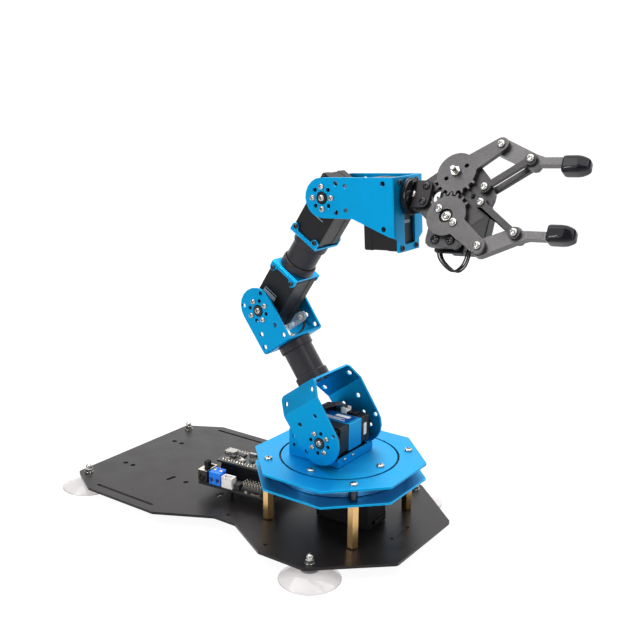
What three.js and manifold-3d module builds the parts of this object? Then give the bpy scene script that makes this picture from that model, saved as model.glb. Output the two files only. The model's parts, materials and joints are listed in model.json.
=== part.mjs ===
// Desktop robot arm: five rotary joints and a gear-linked gripper on a flat base plate.
// Millimetres, +Z up, +X along the plate towards the gripper, origin on the turning axis
// of the turntable at the underside of the base plate.
import * as THREE from 'three';
import { mergeVertices, mergeGeometries } from 'three/addons/utils/BufferGeometryUtils.js';
import Module from 'manifold-3d';

const wasm = await Module();
wasm.setup();

// ---------- driving dimensions ----------
const GAP = 0.3;                 // running gap between neighbouring pieces
const PLATE_TOP = 3;             // base plate faces, in drawing heights
const PLATE_BOTTOM = 1;
const PLATE_EDGE = [             // half outline of the base plate, mirrored in Y
  [-205.4, 61.4], [-176.2, 77.5], [-108.7, 77.5], [-68.3, 56.4],
  [-49.0, 56.4], [-11.8, 77.0], [25.3, 77.0], [70.8, 36.1],
];
const CUPS = [[-198.6, -57], [-198.6, 57], [24.2, -68.5], [24.2, 68.5]];
const CUP_R = 20.8;              // suction cup rim radius
const CUP_H = 9.5;               // suction cup height below the plate
const POST_XY = 35.5;            // post positions under the turntable
const POST_AF_R = 4.04;          // hexagon corner radius of the brass posts
const OCT_HALF = 57;             // half size across flats of the octagonal plates
const OCT_Z = 35.2;              // underside of the lower octagonal plate
const OCT_T = 1.7;               // thickness of the octagonal plates and the disc
const SHEET = 1.7;                // sheet thickness of the blue brackets
const RING_Z = 46.4;             // underside of the upper octagonal plate
const RING_HOLE_R = 42.5;
const DISC_R = 40.9;
const DRUM_R = 46;                // bearing drum between the octagonal plates
const SHOULDER = [2, 66];        // shoulder axis, x and z
const UPPER_LEN = 100.8;         // shoulder axis to elbow axis
const FORE_LEN = 98.05;          // elbow axis to wrist axis
const UPPER_LEAN = 35.9;         // degrees, upper arm leaning back
const FORE_LEAN = 32.5;          // degrees, forearm leaning forward
const WRIST_PITCH = 3.7;         // degrees, hand above horizontal
const HAND_ROLL = 30.7;          // degrees, gripper plate turned about the hand axis
const TUBE_R = 10.8;
const TUBE_WALL = 1.4;
const COLLAR_R = 12.1;
const COLLAR_H = 5.6;
const SERVO_W = 23.6;            // bus servo width
const SERVO_Y = 11.9;            // bus servo half depth along its shaft
const SERVO_FRONT = 11.4;        // shaft to the short end
const SERVO_BACK = 33.8;         // shaft to the long end
const FRONT_X = 53.2;            // outer face of the hand bracket's front plate
const GEAR_X = 85.2;             // gear axes along the hand
const GEAR_Z = 14.3;             // gear axes to either side of the hand axis
const GEAR_TEETH = 20;
const GEAR_ROOT_R = 12.8;
const GEAR_TIP_R = 15.2;
const LINK_X = 105.4;            // link pivots along the hand
const LINK_Z = 4.95;
const LEVER_LEN = 30.8;          // gear axis to finger pivot, and link length
const LEVER_OPEN = 36.4;         // degrees, lever angle as set
const LEVER_TOP = 5.1;           // outer face of the levers above the hand axis
const LEVER_T = 3;
const LINK_T = 2.5;
const PALM_TOP = 1.8;            // outer face of the palm plate
const PALM_T = 3;
const FINGER_T = 5.2;
const REAR_LINK_TOP = -4.2;      // near face of the rear links
const TIP_BAR_Z = 23.1;          // finger tip bar to either side of the hand axis
const TIP_BAR_HALF = 2.3;
const TIP_END_X = 159;
const CAP_DROP = 1.1;            // cap centre behind the middle of the finger
const CAP_X = [148.8, 164.8];
const CAP_Z = 21.4;              // cap centre to either side of the hand axis
const CAP_HALF = 4.9;
const CAP_DEEP = 5.3;            // half size of a cap across the finger plate
const BOARD_TURN = 5.4;          // degrees, controller board turned on the plate
const BOARD_AT = [-102.8, -36];  // near left corner of the controller board

const RAD = Math.PI / 180;

// ---------- materials ----------
function mat(color, roughness, metalness) {
  return new THREE.MeshStandardMaterial({ color, roughness, metalness });
}
const BLUE = mat(0x0a95d8, 0.35, 0.85);
const BLACK_ANO = mat(0x343334, 0.5, 0.7);
const GUNMETAL = mat(0x6a6869, 0.42, 0.8);
const TUBE_GREY = mat(0x333236, 0.5, 0.6);
const CASE_BLACK = mat(0x1c1c20, 0.45, 0.0);
const HORN_BLACK = mat(0x161618, 0.3, 0.5);
const BRASS = mat(0xb08a4e, 0.35, 0.95);
const STEEL = mat(0xb8bcc0, 0.25, 1.0);
const CLEAR_PVC = mat(0xe8e6e4, 0.12, 0.0);
const TIP_RUBBER = mat(0x14151a, 0.15, 0.0);
const BOARD = mat(0x20221f, 0.5, 0.0);
const BLOCK_BLUE = mat(0x0b63d6, 0.35, 0.0);
const LEAD = mat(0x141417, 0.5, 0.0);
const CLAMP = mat(0xb9c6cf, 0.3, 0.0);

// ---------- shape helpers ----------
// Rounds the corners of a closed outline; rad is one radius or a list.
function rounded(pts, rad, seg = 3) {
  const out = [];
  const n = pts.length;
  for (let i = 0; i < n; i++) {
    const r = Array.isArray(rad) ? rad[i] : rad;
    const p = new THREE.Vector2(...pts[i]);
    if (!r) {
      out.push(p);
      continue;
    }
    const a = new THREE.Vector2(...pts[(i + n - 1) % n]).sub(p);
    const b = new THREE.Vector2(...pts[(i + 1) % n]).sub(p);
    const half = Math.acos(Math.min(1, Math.max(-1, a.dot(b) / a.length() / b.length()))) / 2;
    const cut = Math.min(r / Math.tan(half), a.length() * 0.49, b.length() * 0.49);
    const p0 = p.clone().addScaledVector(a, cut / a.length());
    const p1 = p.clone().addScaledVector(b, cut / b.length());
    const curve = new THREE.QuadraticBezierCurve(p0, p, p1);
    out.push(...curve.getPoints(seg));
  }
  return out;
}

// Outline around a row of discs [x, y, r] (convex hull of the discs).
function hullOfDiscs(discs, seg = 16) {
  const pts = [];
  for (const [x, y, r] of discs) {
    for (let i = 0; i < seg; i++) {
      const t = (i / seg) * 2 * Math.PI;
      pts.push([x + r * Math.cos(t), y + r * Math.sin(t)]);
    }
  }
  pts.sort((p, q) => p[0] - q[0] || p[1] - q[1]);
  const cross = (o, a, b) => (a[0] - o[0]) * (b[1] - o[1]) - (a[1] - o[1]) * (b[0] - o[0]);
  const half = (list) => {
    const h = [];
    for (const p of list) {
      while (h.length > 1 && cross(h[h.length - 2], h[h.length - 1], p) <= 1e-6) h.pop();
      h.push(p);
    }
    h.pop();
    return h;
  };
  const hull = [...half(pts), ...half([...pts].reverse())];
  return hull.map(([x, y]) => new THREE.Vector2(x, y));
}

function holePath([x, y, r], seg) {
  const path = new THREE.Path();
  const pts = [];
  for (let i = 0; i < seg; i++) {
    const t = (i / seg) * 2 * Math.PI;
    pts.push(new THREE.Vector2(x + r * Math.cos(t), y + r * Math.sin(t)));
  }
  path.setFromPoints(pts);
  return path;
}

// Slab of an outline, from z0 to z1, with round holes and free-form cuts.
function slab(outline, z0, z1, holes = [], cuts = [], seg = 8) {
  const pts = outline.map((p) => (p.isVector2 ? p : new THREE.Vector2(...p)));
  const shape = new THREE.Shape(pts);
  for (const h of holes) shape.holes.push(holePath(h, h[2] > 8 ? 44 : h[2] > 3.5 ? 16 : seg));
  for (const c of cuts) {
    shape.holes.push(new THREE.Path().setFromPoints(c.map((p) => (p.isVector2 ? p
      : new THREE.Vector2(...p)))));
  }
  const g = new THREE.ExtrudeGeometry(shape, { depth: z1 - z0, bevelEnabled: false });
  g.translate(0, 0, z0);
  return g;
}

// Same, standing in the XZ plane, thickness along Y from y0 to y1.
function slabXZ(outline, y0, y1, holes, cuts, seg) {
  const g = slab(outline, -y1, -y0, holes, cuts, seg);
  g.rotateX(Math.PI / 2);
  return g;
}

// Same, standing in the YZ plane, thickness along X from x0 to x1.
const TO_YZ = new THREE.Matrix4().makeBasis(
  new THREE.Vector3(0, 1, 0), new THREE.Vector3(0, 0, 1), new THREE.Vector3(1, 0, 0));
function slabYZ(outline, x0, x1, holes, cuts, seg) {
  return slab(outline, x0, x1, holes, cuts, seg).applyMatrix4(TO_YZ);
}

function box(x0, x1, y0, y1, z0, z1) {
  const g = new THREE.BoxGeometry(x1 - x0, y1 - y0, z1 - z0);
  g.translate((x0 + x1) / 2, (y0 + y1) / 2, (z0 + z1) / 2);
  return g;
}

// Cylinder from a to b on the named axis.
function rod(axis, r, a, b, at = [0, 0], seg = 16) {
  const g = new THREE.CylinderGeometry(r, r, b - a, seg);
  if (axis === 'x') {
    g.rotateZ(-Math.PI / 2);
    g.translate((a + b) / 2, at[0], at[1]);
  } else if (axis === 'y') {
    g.translate(at[0], (a + b) / 2, at[1]);
  } else {
    g.rotateX(Math.PI / 2);
    g.translate(at[0], at[1], (a + b) / 2);
  }
  return g;
}

// Turned shape about Z from a closed or on-axis profile of [radius, height].
function turned(profile, seg = 32) {
  const g = new THREE.LatheGeometry(profile.map((p) => new THREE.Vector2(...p)), seg);
  g.rotateX(Math.PI / 2);
  return g;
}

// ---------- joining and cutting ----------
function solid(g) {
  const c = g.clone();
  c.deleteAttribute('uv');
  c.deleteAttribute('normal');
  const m = mergeVertices(c, 1e-4);
  const keep = [];
  const ix = m.index.array;
  for (let i = 0; i < ix.length; i += 3) {
    const [a, b, d] = [ix[i], ix[i + 1], ix[i + 2]];
    if (a !== b && b !== d && a !== d) keep.push(a, b, d);
  }
  return new wasm.Manifold(new wasm.Mesh({
    numProp: 3,
    vertProperties: new Float32Array(m.attributes.position.array),
    triVerts: new Uint32Array(keep),
  }));
}

function geometryOf(m) {
  const mesh = m.getMesh();
  const g = new THREE.BufferGeometry();
  g.setAttribute('position', new THREE.BufferAttribute(new Float32Array(mesh.vertProperties), 3));
  g.setIndex(new THREE.BufferAttribute(new Uint32Array(mesh.triVerts), 1));
  const flat = g.toNonIndexed();
  flat.computeVertexNormals();
  return flat;
}

function join(...parts) {
  return geometryOf(parts.map(solid).reduce((a, b) => a.add(b)));
}

function cut(base, ...tools) {
  return geometryOf(tools.map(solid).reduce((a, b) => a.subtract(b), solid(base)));
}

function common(a, b) {
  return geometryOf(solid(a).intersect(solid(b)));
}

// ---------- scene graph ----------
const arm = new THREE.Group();
arm.name = 'desktop_robot_arm';

function add(parent, name, geometry, material) {
  const mesh = new THREE.Mesh(geometry, material);
  mesh.name = name;
  parent.add(mesh);
  return mesh;
}

function frame(parent, name, x, y, z) {
  const g = new THREE.Group();
  g.name = name;
  g.position.set(x, y, z);
  parent.add(g);
  return g;
}

// ---------- base plate and feet ----------
const mirrored = [...PLATE_EDGE, ...PLATE_EDGE.map(([x, y]) => [x, -y]).reverse()];
const plateHoles = [];
for (const s of [-1, 1]) {
  plateHoles.push([-188, 28.1 * s, 2.2], [-179.8, 28.1 * s, 2.2]);
  plateHoles.push([-61.5, 49 * s, 1.5], [-13.2, 67.3 * s, 1.5], [50.7, 10.3 * s, 1.6]);
  plateHoles.push([POST_XY, POST_XY * s, 1.6], [-POST_XY, POST_XY * s, 1.6]);
}
plateHoles.push([-123.4, -26.7, 2.2]);
for (const [x, y] of CUPS) plateHoles.push([x, y, 2.3]);
const plateSlots = [];
for (const s of [-1, 1]) {
  plateSlots.push(hullOfDiscs([[-174, 69.4 * s, 1.2], [-117, 69.4 * s, 1.2]], 8));
}
for (const x of [-137.8, -88.2]) {
  plateSlots.push(hullOfDiscs([[x - 0.4, -31, 1.7], [x + 0.4, -25.2, 1.7]], 8));
}
add(arm, 'base_plate', slab(rounded(mirrored, 4, 3), PLATE_BOTTOM, PLATE_TOP, plateHoles, plateSlots, 8),
  BLACK_ANO);

const cupProfile = [
  [0, -4.4], [8, -5], [15.5, -7.2], [CUP_R - 0.7, -CUP_H], [CUP_R, -CUP_H + 0.3],
  [15.5, -5.8], [9, -3.6], [5.4, -2.4], [5.4, -GAP],
  [1.9, -GAP], [1.9, 8.4], [0, 8.4],
];
CUPS.forEach(([x, y], i) => {
  add(arm, `suction_cup_${i + 1}`, turned(cupProfile, 18), CLEAR_PVC)
    .position.set(x, y, PLATE_BOTTOM);
});

// ---------- turntable housing ----------
const octCorner = OCT_HALF * Math.tan(22.5 * RAD);
const octagon = [];
for (let i = 0; i < 8; i++) {
  const t = (22.5 + 45 * i) * RAD;
  octagon.push([Math.hypot(OCT_HALF, octCorner) * Math.cos(t),
    Math.hypot(OCT_HALF, octCorner) * Math.sin(t)]);
}
const posts = [[-1, -1], [1, -1], [1, 1], [-1, 1]].map(([a, b]) => [a * POST_XY, b * POST_XY]);
posts.forEach(([x, y], i) => {
  const g = join(
    rod('z', POST_AF_R, PLATE_TOP + GAP, OCT_Z - GAP, [x, y], 6),
    rod('z', 1.6, OCT_Z - 1, OCT_Z + OCT_T + 1, [x, y], 12),
    rod('z', 2.7, OCT_Z + OCT_T + GAP, RING_Z - GAP, [x, y], 16));
  add(arm, `brass_post_${i + 1}`, g, BRASS);
});
add(arm, 'turntable_lower_plate', slab(rounded(octagon, 2, 2), OCT_Z, OCT_Z + OCT_T,
  [[0, 0, 9], ...posts.map(([x, y]) => [x, y, 1.95])]), BLUE);
add(arm, 'turntable_ring_plate', slab(rounded(octagon, 2, 2), RING_Z, RING_Z + OCT_T,
  [[0, 0, RING_HOLE_R], ...posts.map(([x, y]) => [x, y, 1.6])]), BLUE);

// Bus servo: shaft on the Y axis at the origin, long end towards -Z.
function busServo(y0, y1, shaftNear) {
  const w = SERVO_W / 2;
  const side = rounded([[-w, -SERVO_BACK], [w, -SERVO_BACK], [w, SERVO_FRONT],
    [-w, SERVO_FRONT]], 1.6, 2);
  return join(slabXZ(side, y0, y1), rod('y', 3, y0 - shaftNear, y0 + 2));
}
const yawServo = join(
  slab(rounded([[-SERVO_FRONT, -12.3], [32.8, -12.3], [32.8, 12.3], [-SERVO_FRONT, 12.3]], 1.6, 2),
    PLATE_TOP + 0.5, OCT_Z - GAP),
  rod('z', 8, OCT_Z - 2, OCT_Z + OCT_T + 0.5),
  rod('z', 3.2, OCT_Z + 1, RING_Z - GAP));
add(arm, 'yaw_servo', yawServo, CASE_BLACK);

// ---------- controller boards ----------
const board = frame(arm, 'board_frame', BOARD_AT[0], BOARD_AT[1], 0);
board.rotation.z = BOARD_TURN * RAD;
const BOARD_Z = 11.4;            // underside of the lower board
const BOARD_TOP = 13;
const boardPosts = [[26, 6], [58, 6], [26, 52], [6, 46]];
add(board, 'controller_board', join(
  slab(rounded([[0, 0], [62, 0], [62, 56], [0, 56]], 1.5, 2), BOARD_Z, BOARD_TOP),
  ...boardPosts.map(([x, y]) => rod('z', 2.6, PLATE_TOP + GAP, BOARD_Z + 0.4, [x, y], 6))), BOARD);
for (const [name, y0] of [['stacking_header_near', 16.5], ['stacking_header_far', 34.5]]) {
  add(board, name, box(9.5, 50, y0, y0 + 2.5, BOARD_TOP + GAP, 24.6), CASE_BLACK);
}
add(board, 'processor_board', slab(rounded([[6.5, 14.8], [57, 14.8], [57, 38.7], [6.5, 38.7]],
  1.2, 2), 24.9, 26.5), BOARD);
const blockBody = cut(box(10.6, 20.6, 0.4, 8.2, BOARD_TOP + GAP, 23.2),
  ...[13, 18.2].map((x) => box(x - 1.5, x + 1.5, -1, 3, 14.5, 18.5)));
add(board, 'terminal_block', blockBody, BLOCK_BLUE);
add(board, 'power_switch_body', cut(box(-0.4, 7.6, 1.6, 15.2, BOARD_TOP + GAP, 21.8),
  box(2.4, 6.2, 4, 14.2, 18.6, 22)), STEEL);
add(board, 'power_switch_slider', box(2.8, 5.8, 5.2, 9.6, 19, 27.6), CASE_BLACK);

// ---------- turning parts on the turntable ----------
const table = frame(arm, 'turntable_frame', 0, 0, 0);
const discHoles = [[34, 0, 1.5], [-34, 0, 1.5], [0, 34, 1.5], [0, -34, 1.5]];
const discRim = hullOfDiscs([[0, 0, DISC_R]], 48);
add(table, 'turntable_disc', slab(discRim, RING_Z, RING_Z + OCT_T, discHoles), BLUE);
const DRUM_LOW = OCT_Z + OCT_T + GAP;
const DRUM_TOP = RING_Z - GAP;
add(table, 'bearing_drum', turned([[30, DRUM_LOW], [DRUM_R, DRUM_LOW], [DRUM_R, DRUM_TOP],
  [DRUM_R - 2, DRUM_TOP], [DRUM_R - 2, DRUM_LOW + 2.8], [38, DRUM_LOW + 2.8],
  [38, DRUM_TOP], [30, DRUM_TOP], [30, DRUM_LOW]], 48), STEEL);

const CRADLE_X = [-28.5, 13.4];
const CRADLE_Y = [-20.8, 22.3];
const CRADLE_Z = RING_Z + OCT_T + GAP;
const CRADLE_T = 1.5;
const CRADLE_LOW = 54.4;
const CRADLE_TALL = 68;
const SERVO_AXIS_Z = SHOULDER[1];
const cradle = join(
  box(...CRADLE_X, ...CRADLE_Y, CRADLE_Z, CRADLE_Z + CRADLE_T),
  box(CRADLE_X[1] - CRADLE_T, CRADLE_X[1], ...CRADLE_Y, CRADLE_Z, CRADLE_LOW),
  box(CRADLE_X[0], CRADLE_X[0] + CRADLE_T, ...CRADLE_Y, CRADLE_Z, 60),
  slabXZ([[CRADLE_X[0], CRADLE_Z], [CRADLE_X[1], CRADLE_Z], [CRADLE_X[1], 52.5], [-9, 52.5],
    [-18.5, CRADLE_TALL], [CRADLE_X[0], CRADLE_TALL]], CRADLE_Y[0], CRADLE_Y[0] + CRADLE_T,
  [[-24.6, 63, 1.3], [-24.2, 56.5, 1.3]]),
  slabXZ([[CRADLE_X[0], CRADLE_Z], [CRADLE_X[1], CRADLE_Z], [CRADLE_X[1], 52.5], [-9, 52.5],
    [-18.5, CRADLE_TALL], [CRADLE_X[0], CRADLE_TALL]], CRADLE_Y[1] - CRADLE_T, CRADLE_Y[1],
  [[-24.6, 63, 1.3], [-24.2, 56.5, 1.3]]));
add(table, 'shoulder_cradle', cradle, BLUE);

const SH_X = [-24.2, 11.6];      // shoulder servo case
const SH_Y = [-16.8, 20.5];
const SH_Z = [55.8, 75.2];
const BAND_Y = [-5.7, 9.8];
const BAND_IN = 0.7;
const shoulderCase = join(
  box(SH_X[0], SH_X[1], SH_Y[0], BAND_Y[0] - GAP, ...SH_Z),
  box(SH_X[0], SH_X[1], BAND_Y[1] + GAP, SH_Y[1], ...SH_Z),
  box(SH_X[0] + BAND_IN + GAP, SH_X[1] - BAND_IN - GAP, ...SH_Y,
    SH_Z[0] + BAND_IN + GAP, SH_Z[1] - BAND_IN - GAP),
  box(-20, 8, SH_Y[0], SH_Y[1], CRADLE_Z + CRADLE_T + GAP, SH_Z[0] + 2),
  rod('y', 3, SH_Y[0] - 2, SH_Y[0] + 2, SHOULDER),
  rod('y', 7.5, SH_Y[1] - 2, 25.3, SHOULDER));
add(table, 'shoulder_servo', shoulderCase, CASE_BLACK);
add(table, 'shoulder_servo_band', cut(
  box(SH_X[0] - 0.1, SH_X[1] + 0.1, ...BAND_Y, SH_Z[0] - 0.1, SH_Z[1] + 0.1),
  box(SH_X[0] + BAND_IN, SH_X[1] - BAND_IN, BAND_Y[0] - 1, BAND_Y[1] + 1,
    SH_Z[0] + BAND_IN, SH_Z[1] - BAND_IN),
  box(-21, 9, BAND_Y[0] - 1, BAND_Y[1] + 1, SH_Z[0] - 1, SH_Z[0] + 2)), BLUE);

// Hole pattern of every bracket ear: shaft opening and four spare screw holes.
function earHoles() {
  const list = [[0, 0, 4.3]];
  for (let i = 0; i < 4; i++) {
    const t = (90 * i + 45) * RAD;
    list.push([7.2 * Math.cos(t), 7.2 * Math.sin(t), 1.5]);
  }
  return list;
}

// Disc horn from the servo face at y0 to the bracket ear at y1, its hub passing through the
// ear, mirrored to the near side.
function horn(y0, y1, r) {
  const hub = rod('y', 3.9, y1 - 1, y1 + GAP + SHEET + 0.4, [0, 0], 16);
  return cut(join(rod('y', r, y0, y1, [0, 0], 24), hub),
    rod('y', 3.3, y0 - 1, y0 + 2.2, [0, 0], 16)).rotateZ(Math.PI);
}

// ---------- upper arm ----------
const upper = frame(table, 'upper_arm_frame', SHOULDER[0], 0, SHOULDER[1]);
upper.rotation.y = -UPPER_LEAN * RAD;
const SY_Y = 27.6;               // shoulder yoke half width at the ears
const SY_TOP_Y = 20.6;           // half width at the top plate
const SY_TOP = 40.8;
const SY_CREASE = 27.8;
const SY_EAR_R = 15.8;
const SY_HALF = 17.2;
const yokeOut = [[-SY_Y, -20], [-SY_Y, SY_CREASE], [-SY_TOP_Y, SY_TOP], [SY_TOP_Y, SY_TOP],
  [SY_Y, SY_CREASE], [SY_Y, -20]];
const yokeIn = [[SY_Y - SHEET, -20], [SY_Y - SHEET, SY_CREASE - 0.4],
  [SY_TOP_Y - SHEET + 0.6, SY_TOP - SHEET], [-SY_TOP_Y + SHEET - 0.6, SY_TOP - SHEET],
  [-SY_Y + SHEET, SY_CREASE - 0.4], [-SY_Y + SHEET, -20]];
const yokeStrip = slabYZ([...yokeOut, ...yokeIn], -20, 20);
const yokeSide = slabXZ(hullOfDiscs([[0, 0, SY_EAR_R], [-SY_HALF + 8.8, 14, 8], [SY_HALF - 8.8, 14, 8],
  [-SY_HALF + 3, SY_TOP - 3, 3], [SY_HALF - 3, SY_TOP - 3, 3]], 20), -SY_Y - 1, SY_Y + 1,
[...earHoles(), [13.3, -0.4, 1.6], [-13.3, -0.4, 1.6], [7.6, 17.4, 1.8], [-7.6, 17.4, 1.8],
  [13.1, 34.4, 1.8], [-13.1, 34.4, 1.8]]);
const yokeTopHoles = [[-7, -4.5], [7, -4.5], [-7, 4.5], [7, 4.5]]
  .map(([x, y]) => rod('z', 1.5, SY_TOP - 4, SY_TOP + 1, [x, y], 8));
add(upper, 'shoulder_yoke', cut(common(yokeStrip, yokeSide), ...yokeTopHoles,
  rod('z', 3.4, SY_TOP - 4, SY_TOP + 1, [0, 0], 16)), BLUE);
add(upper, 'shoulder_horn', horn(-SH_Y[0] + GAP, SY_Y - SHEET - GAP, 9.8), HORN_BLACK);

// Arm tube with a screwed collar at each end, along Z from z0 to z1.
function tube(parent, name, z0, z1) {
  add(parent, name, turned([[TUBE_R - TUBE_WALL, z0], [TUBE_R, z0], [TUBE_R, z1],
    [TUBE_R - TUBE_WALL, z1], [TUBE_R - TUBE_WALL, z0]], 24), TUBE_GREY);
  const ring = (a, b, lip) => turned([[TUBE_R + GAP, a], [COLLAR_R, a], [COLLAR_R, b - lip],
    [COLLAR_R - 0.5, b], [TUBE_R + GAP, b], [TUBE_R + GAP, a]], 24);
  add(parent, `${name}_lower_collar`, ring(z0, z0 + COLLAR_H, 0.6), TUBE_GREY);
  const top = ring(0, COLLAR_H, 0.6);
  top.rotateX(Math.PI);
  top.translate(0, 0, z1);
  add(parent, `${name}_upper_collar`, top, TUBE_GREY);
}

const EY_Y = 19.2;               // elbow yoke half width
const EY_BASE = -29.1;           // outer face of its base, from the elbow axis
const EY_HALF = 13.4;
const elbowBase = UPPER_LEN + EY_BASE;
tube(upper, 'upper_tube', SY_TOP + GAP, elbowBase - GAP);

const elbow = frame(upper, 'elbow_yoke_frame', 0, 0, UPPER_LEN);
const elbowStrip = slabYZ([...rounded([[EY_Y, 20], [EY_Y, EY_BASE], [-EY_Y, EY_BASE],
  [-EY_Y, 20]], [0, 2.2, 2.2, 0], 3), ...rounded([[-EY_Y + SHEET, 20],
  [-EY_Y + SHEET, EY_BASE + SHEET], [EY_Y - SHEET, EY_BASE + SHEET], [EY_Y - SHEET, 20]],
[0, 0.8, 0.8, 0], 2)], -20, 20);
const elbowSide = slabXZ(hullOfDiscs([[0, 2.6, 13.9], [-EY_HALF + 2, EY_BASE + 2, 2],
  [EY_HALF - 2, EY_BASE + 2, 2]], 20), -EY_Y - 1, EY_Y + 1,
[...earHoles(), [9.2, 9, 1.6], [-9.2, 9, 1.6], [7.3, -15.1, 1.8], [-7.3, -15.1, 1.8],
  [9.9, -24.1, 1.8], [-9.9, -24.1, 1.8]]);
add(elbow, 'elbow_yoke', cut(common(elbowStrip, elbowSide),
  rod('z', 4.2, EY_BASE - 1, EY_BASE + 4, [0, 0], 12),
  ...[[-6.6, -6.6], [6.6, -6.6], [-6.6, 6.6], [6.6, 6.6]]
    .map(([x, y]) => rod('z', 1.4, EY_BASE - 1, EY_BASE + 4, [x, y], 8))), BLUE);
add(elbow, 'elbow_horn', horn(SERVO_Y + GAP, EY_Y - SHEET - GAP, 8.6), HORN_BLACK);

// Clear strap that holds the lead against the far ear of the elbow yoke.
const strapOutline = rounded([[-12.6, -17.4], [-9, -18.6], [7, -18.8], [10.6, -16.5],
  [10, -12.3], [6.5, -11.4], [-8, -11.8], [-12.2, -13.2]], 2, 3);
add(elbow, 'lead_strap', slabXZ(strapOutline, 12.8, 14.2, [[5.3, -14.8, 1.3],
  [-9.7, -15.1, 1.3]]), CLAMP);

function leadTube(points, r) {
  const curve = new THREE.CatmullRomCurve3(points.map((p) => new THREE.Vector3(...p)), false,
    'centripetal');
  const ring = new THREE.Shape();
  ring.absarc(0, 0, r, 0, 2 * Math.PI);
  const pts = ring.getPoints(8).slice(0, 8);
  return new THREE.ExtrudeGeometry(new THREE.Shape(pts), {
    steps: 18, extrudePath: curve, bevelEnabled: false,
  });
}
add(elbow, 'elbow_lead', leadTube([[3.6, 15.6, -8.4], [3.6, 15.6, -12], [3.5, 15.6, -16.4],
  [3.2, 15.2, -20.6], [1.8, 10, -24.4], [0.3, 2.8, -25.7], [0, 0, -29], [0, 0, -36]], 1.1), LEAD);

// ---------- forearm ----------
const fore = frame(elbow, 'forearm_frame', 0, 0, 0);
fore.rotation.y = (UPPER_LEAN + FORE_LEAN) * RAD;
const CAP_TOP = 36;              // outer face of the servo cap bracket from the shaft
const CAP_T = 1.6;
const CAP_Y = SERVO_Y + GAP + CAP_T;
const CAP_W = SERVO_W / 2 + 0.2;

// Shallow cap over the long end of a bus servo, with two screw ears on each side.
function capBracket() {
  const arch = [[-CAP_W, -CAP_TOP], [CAP_W, -CAP_TOP], [CAP_W, -30.6], [9.8, -28.4],
    [7.4, -29.4], [6.2, -32.6], [-6.2, -32.6], [-7.4, -29.4], [-9.8, -28.4], [-CAP_W, -30.6]];
  const side = slabXZ(rounded(arch, [0, 0, 1.5, 1.6, 1.2, 1, 1, 1.2, 1.6, 1.5], 2),
    -CAP_Y - 1, CAP_Y + 1, [[9, -31, 1.1], [-9, -31, 1.1]]);
  const strip = slabYZ([[-CAP_Y, -20], [-CAP_Y, -CAP_TOP + 1], [-CAP_Y + 1, -CAP_TOP],
    [CAP_Y - 1, -CAP_TOP], [CAP_Y, -CAP_TOP + 1], [CAP_Y, -20], [CAP_Y - CAP_T, -20],
    [CAP_Y - CAP_T, -CAP_TOP + CAP_T], [-CAP_Y + CAP_T, -CAP_TOP + CAP_T],
    [-CAP_Y + CAP_T, -20]].reverse(), -20, 20);
  return cut(common(strip, side), rod('z', 3.4, -CAP_TOP - 1, -CAP_TOP + 3, [0, 0], 16));
}
const servoEnd = rod('y', 7, SERVO_Y - 1, EY_Y - SHEET - GAP, [0, 0], 24);
add(fore, 'elbow_servo', join(busServo(-SERVO_Y, SERVO_Y, 2), servoEnd).rotateX(Math.PI)
  .rotateZ(Math.PI), CASE_BLACK);
add(fore, 'elbow_cap_bracket', capBracket().rotateX(Math.PI), BLUE);
tube(fore, 'forearm_tube', CAP_TOP + GAP, FORE_LEN - CAP_TOP - GAP);

const wristEnd = frame(fore, 'wrist_end_frame', 0, 0, FORE_LEN);
const wristBoss = rod('y', 7, SERVO_Y - 1, 16.6 - GAP, [0, 0], 24);
add(wristEnd, 'wrist_servo', join(busServo(-SERVO_Y, SERVO_Y, 2), wristBoss), CASE_BLACK);
add(wristEnd, 'wrist_cap_bracket', capBracket(), BLUE);

// ---------- hand bracket ----------
const wrist = frame(wristEnd, 'wrist_frame', 0, 0, 0);
wrist.rotation.y = (-FORE_LEAN - WRIST_PITCH) * RAD;
const WY_Y = 18.6;               // hand bracket half width
const WY_R = 13;
const handStrip = slab([...rounded([[-20, -WY_Y], [FRONT_X, -WY_Y], [FRONT_X, WY_Y],
  [-20, WY_Y]], [0, 2.2, 2.2, 0], 3), ...rounded([[-20, WY_Y - SHEET],
  [FRONT_X - SHEET, WY_Y - SHEET], [FRONT_X - SHEET, -WY_Y + SHEET], [-20, -WY_Y + SHEET]],
[0, 0.8, 0.8, 0], 2)], -36, 14);
const arcPts = [];
for (let i = 0; i <= 10; i++) {
  const t = (90 + (180 * i) / 10) * RAD;
  arcPts.push([WY_R * Math.cos(t), WY_R * Math.sin(t)]);
}
const handSide = slabXZ([...arcPts, [23, -WY_R], [52.6, -24.6], [52.6, -34], [FRONT_X + 1, -34],
  [FRONT_X + 1, WY_R]], -WY_Y - 1, WY_Y + 1, [...earHoles(), [10.8, 9.2, 1.8],
  [10.8, -9.2, 1.8], [18.1, 7.5, 1.6], [18.1, -7.5, 1.6], [45.8, 9.2, 1.8], [45.8, -18.7, 1.8]]);
const handFront = slabYZ(rounded([[-WY_Y - 1, -23.6], [-WY_Y, -23.6], [-12.6, -27.4],
  [-12.6, -34], [12.6, -34], [12.6, -27.4], [WY_Y, -23.6], [WY_Y + 1, -23.6], [WY_Y + 1, 14],
  [-WY_Y - 1, 14]], [0, 0, 1, 1.5, 1.5, 1, 0, 0, 0, 0], 2), -20, 60);
const handLow = box(FRONT_X - SHEET, FRONT_X, -12.6, 12.6, -34, -20);
const handBody = cut(join(common(common(handStrip, handSide), handFront), handLow),
  rod('x', 9.4, 45, 60, [0, 0], 24),
  slabYZ(rounded([[-5.4, -29.6], [7.4, -29.6], [7.4, -5.5], [-5.4, -5.5]], [2.4, 2.4, 0, 0], 3),
    45, 60),
  ...[[-8.6, -31.6], [8.6, -31.6], [-10.4, 9.6], [10.4, 9.6]]
    .map(([y, z]) => rod('x', 1.0, 45, 60, [y, z], 8)));
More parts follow.
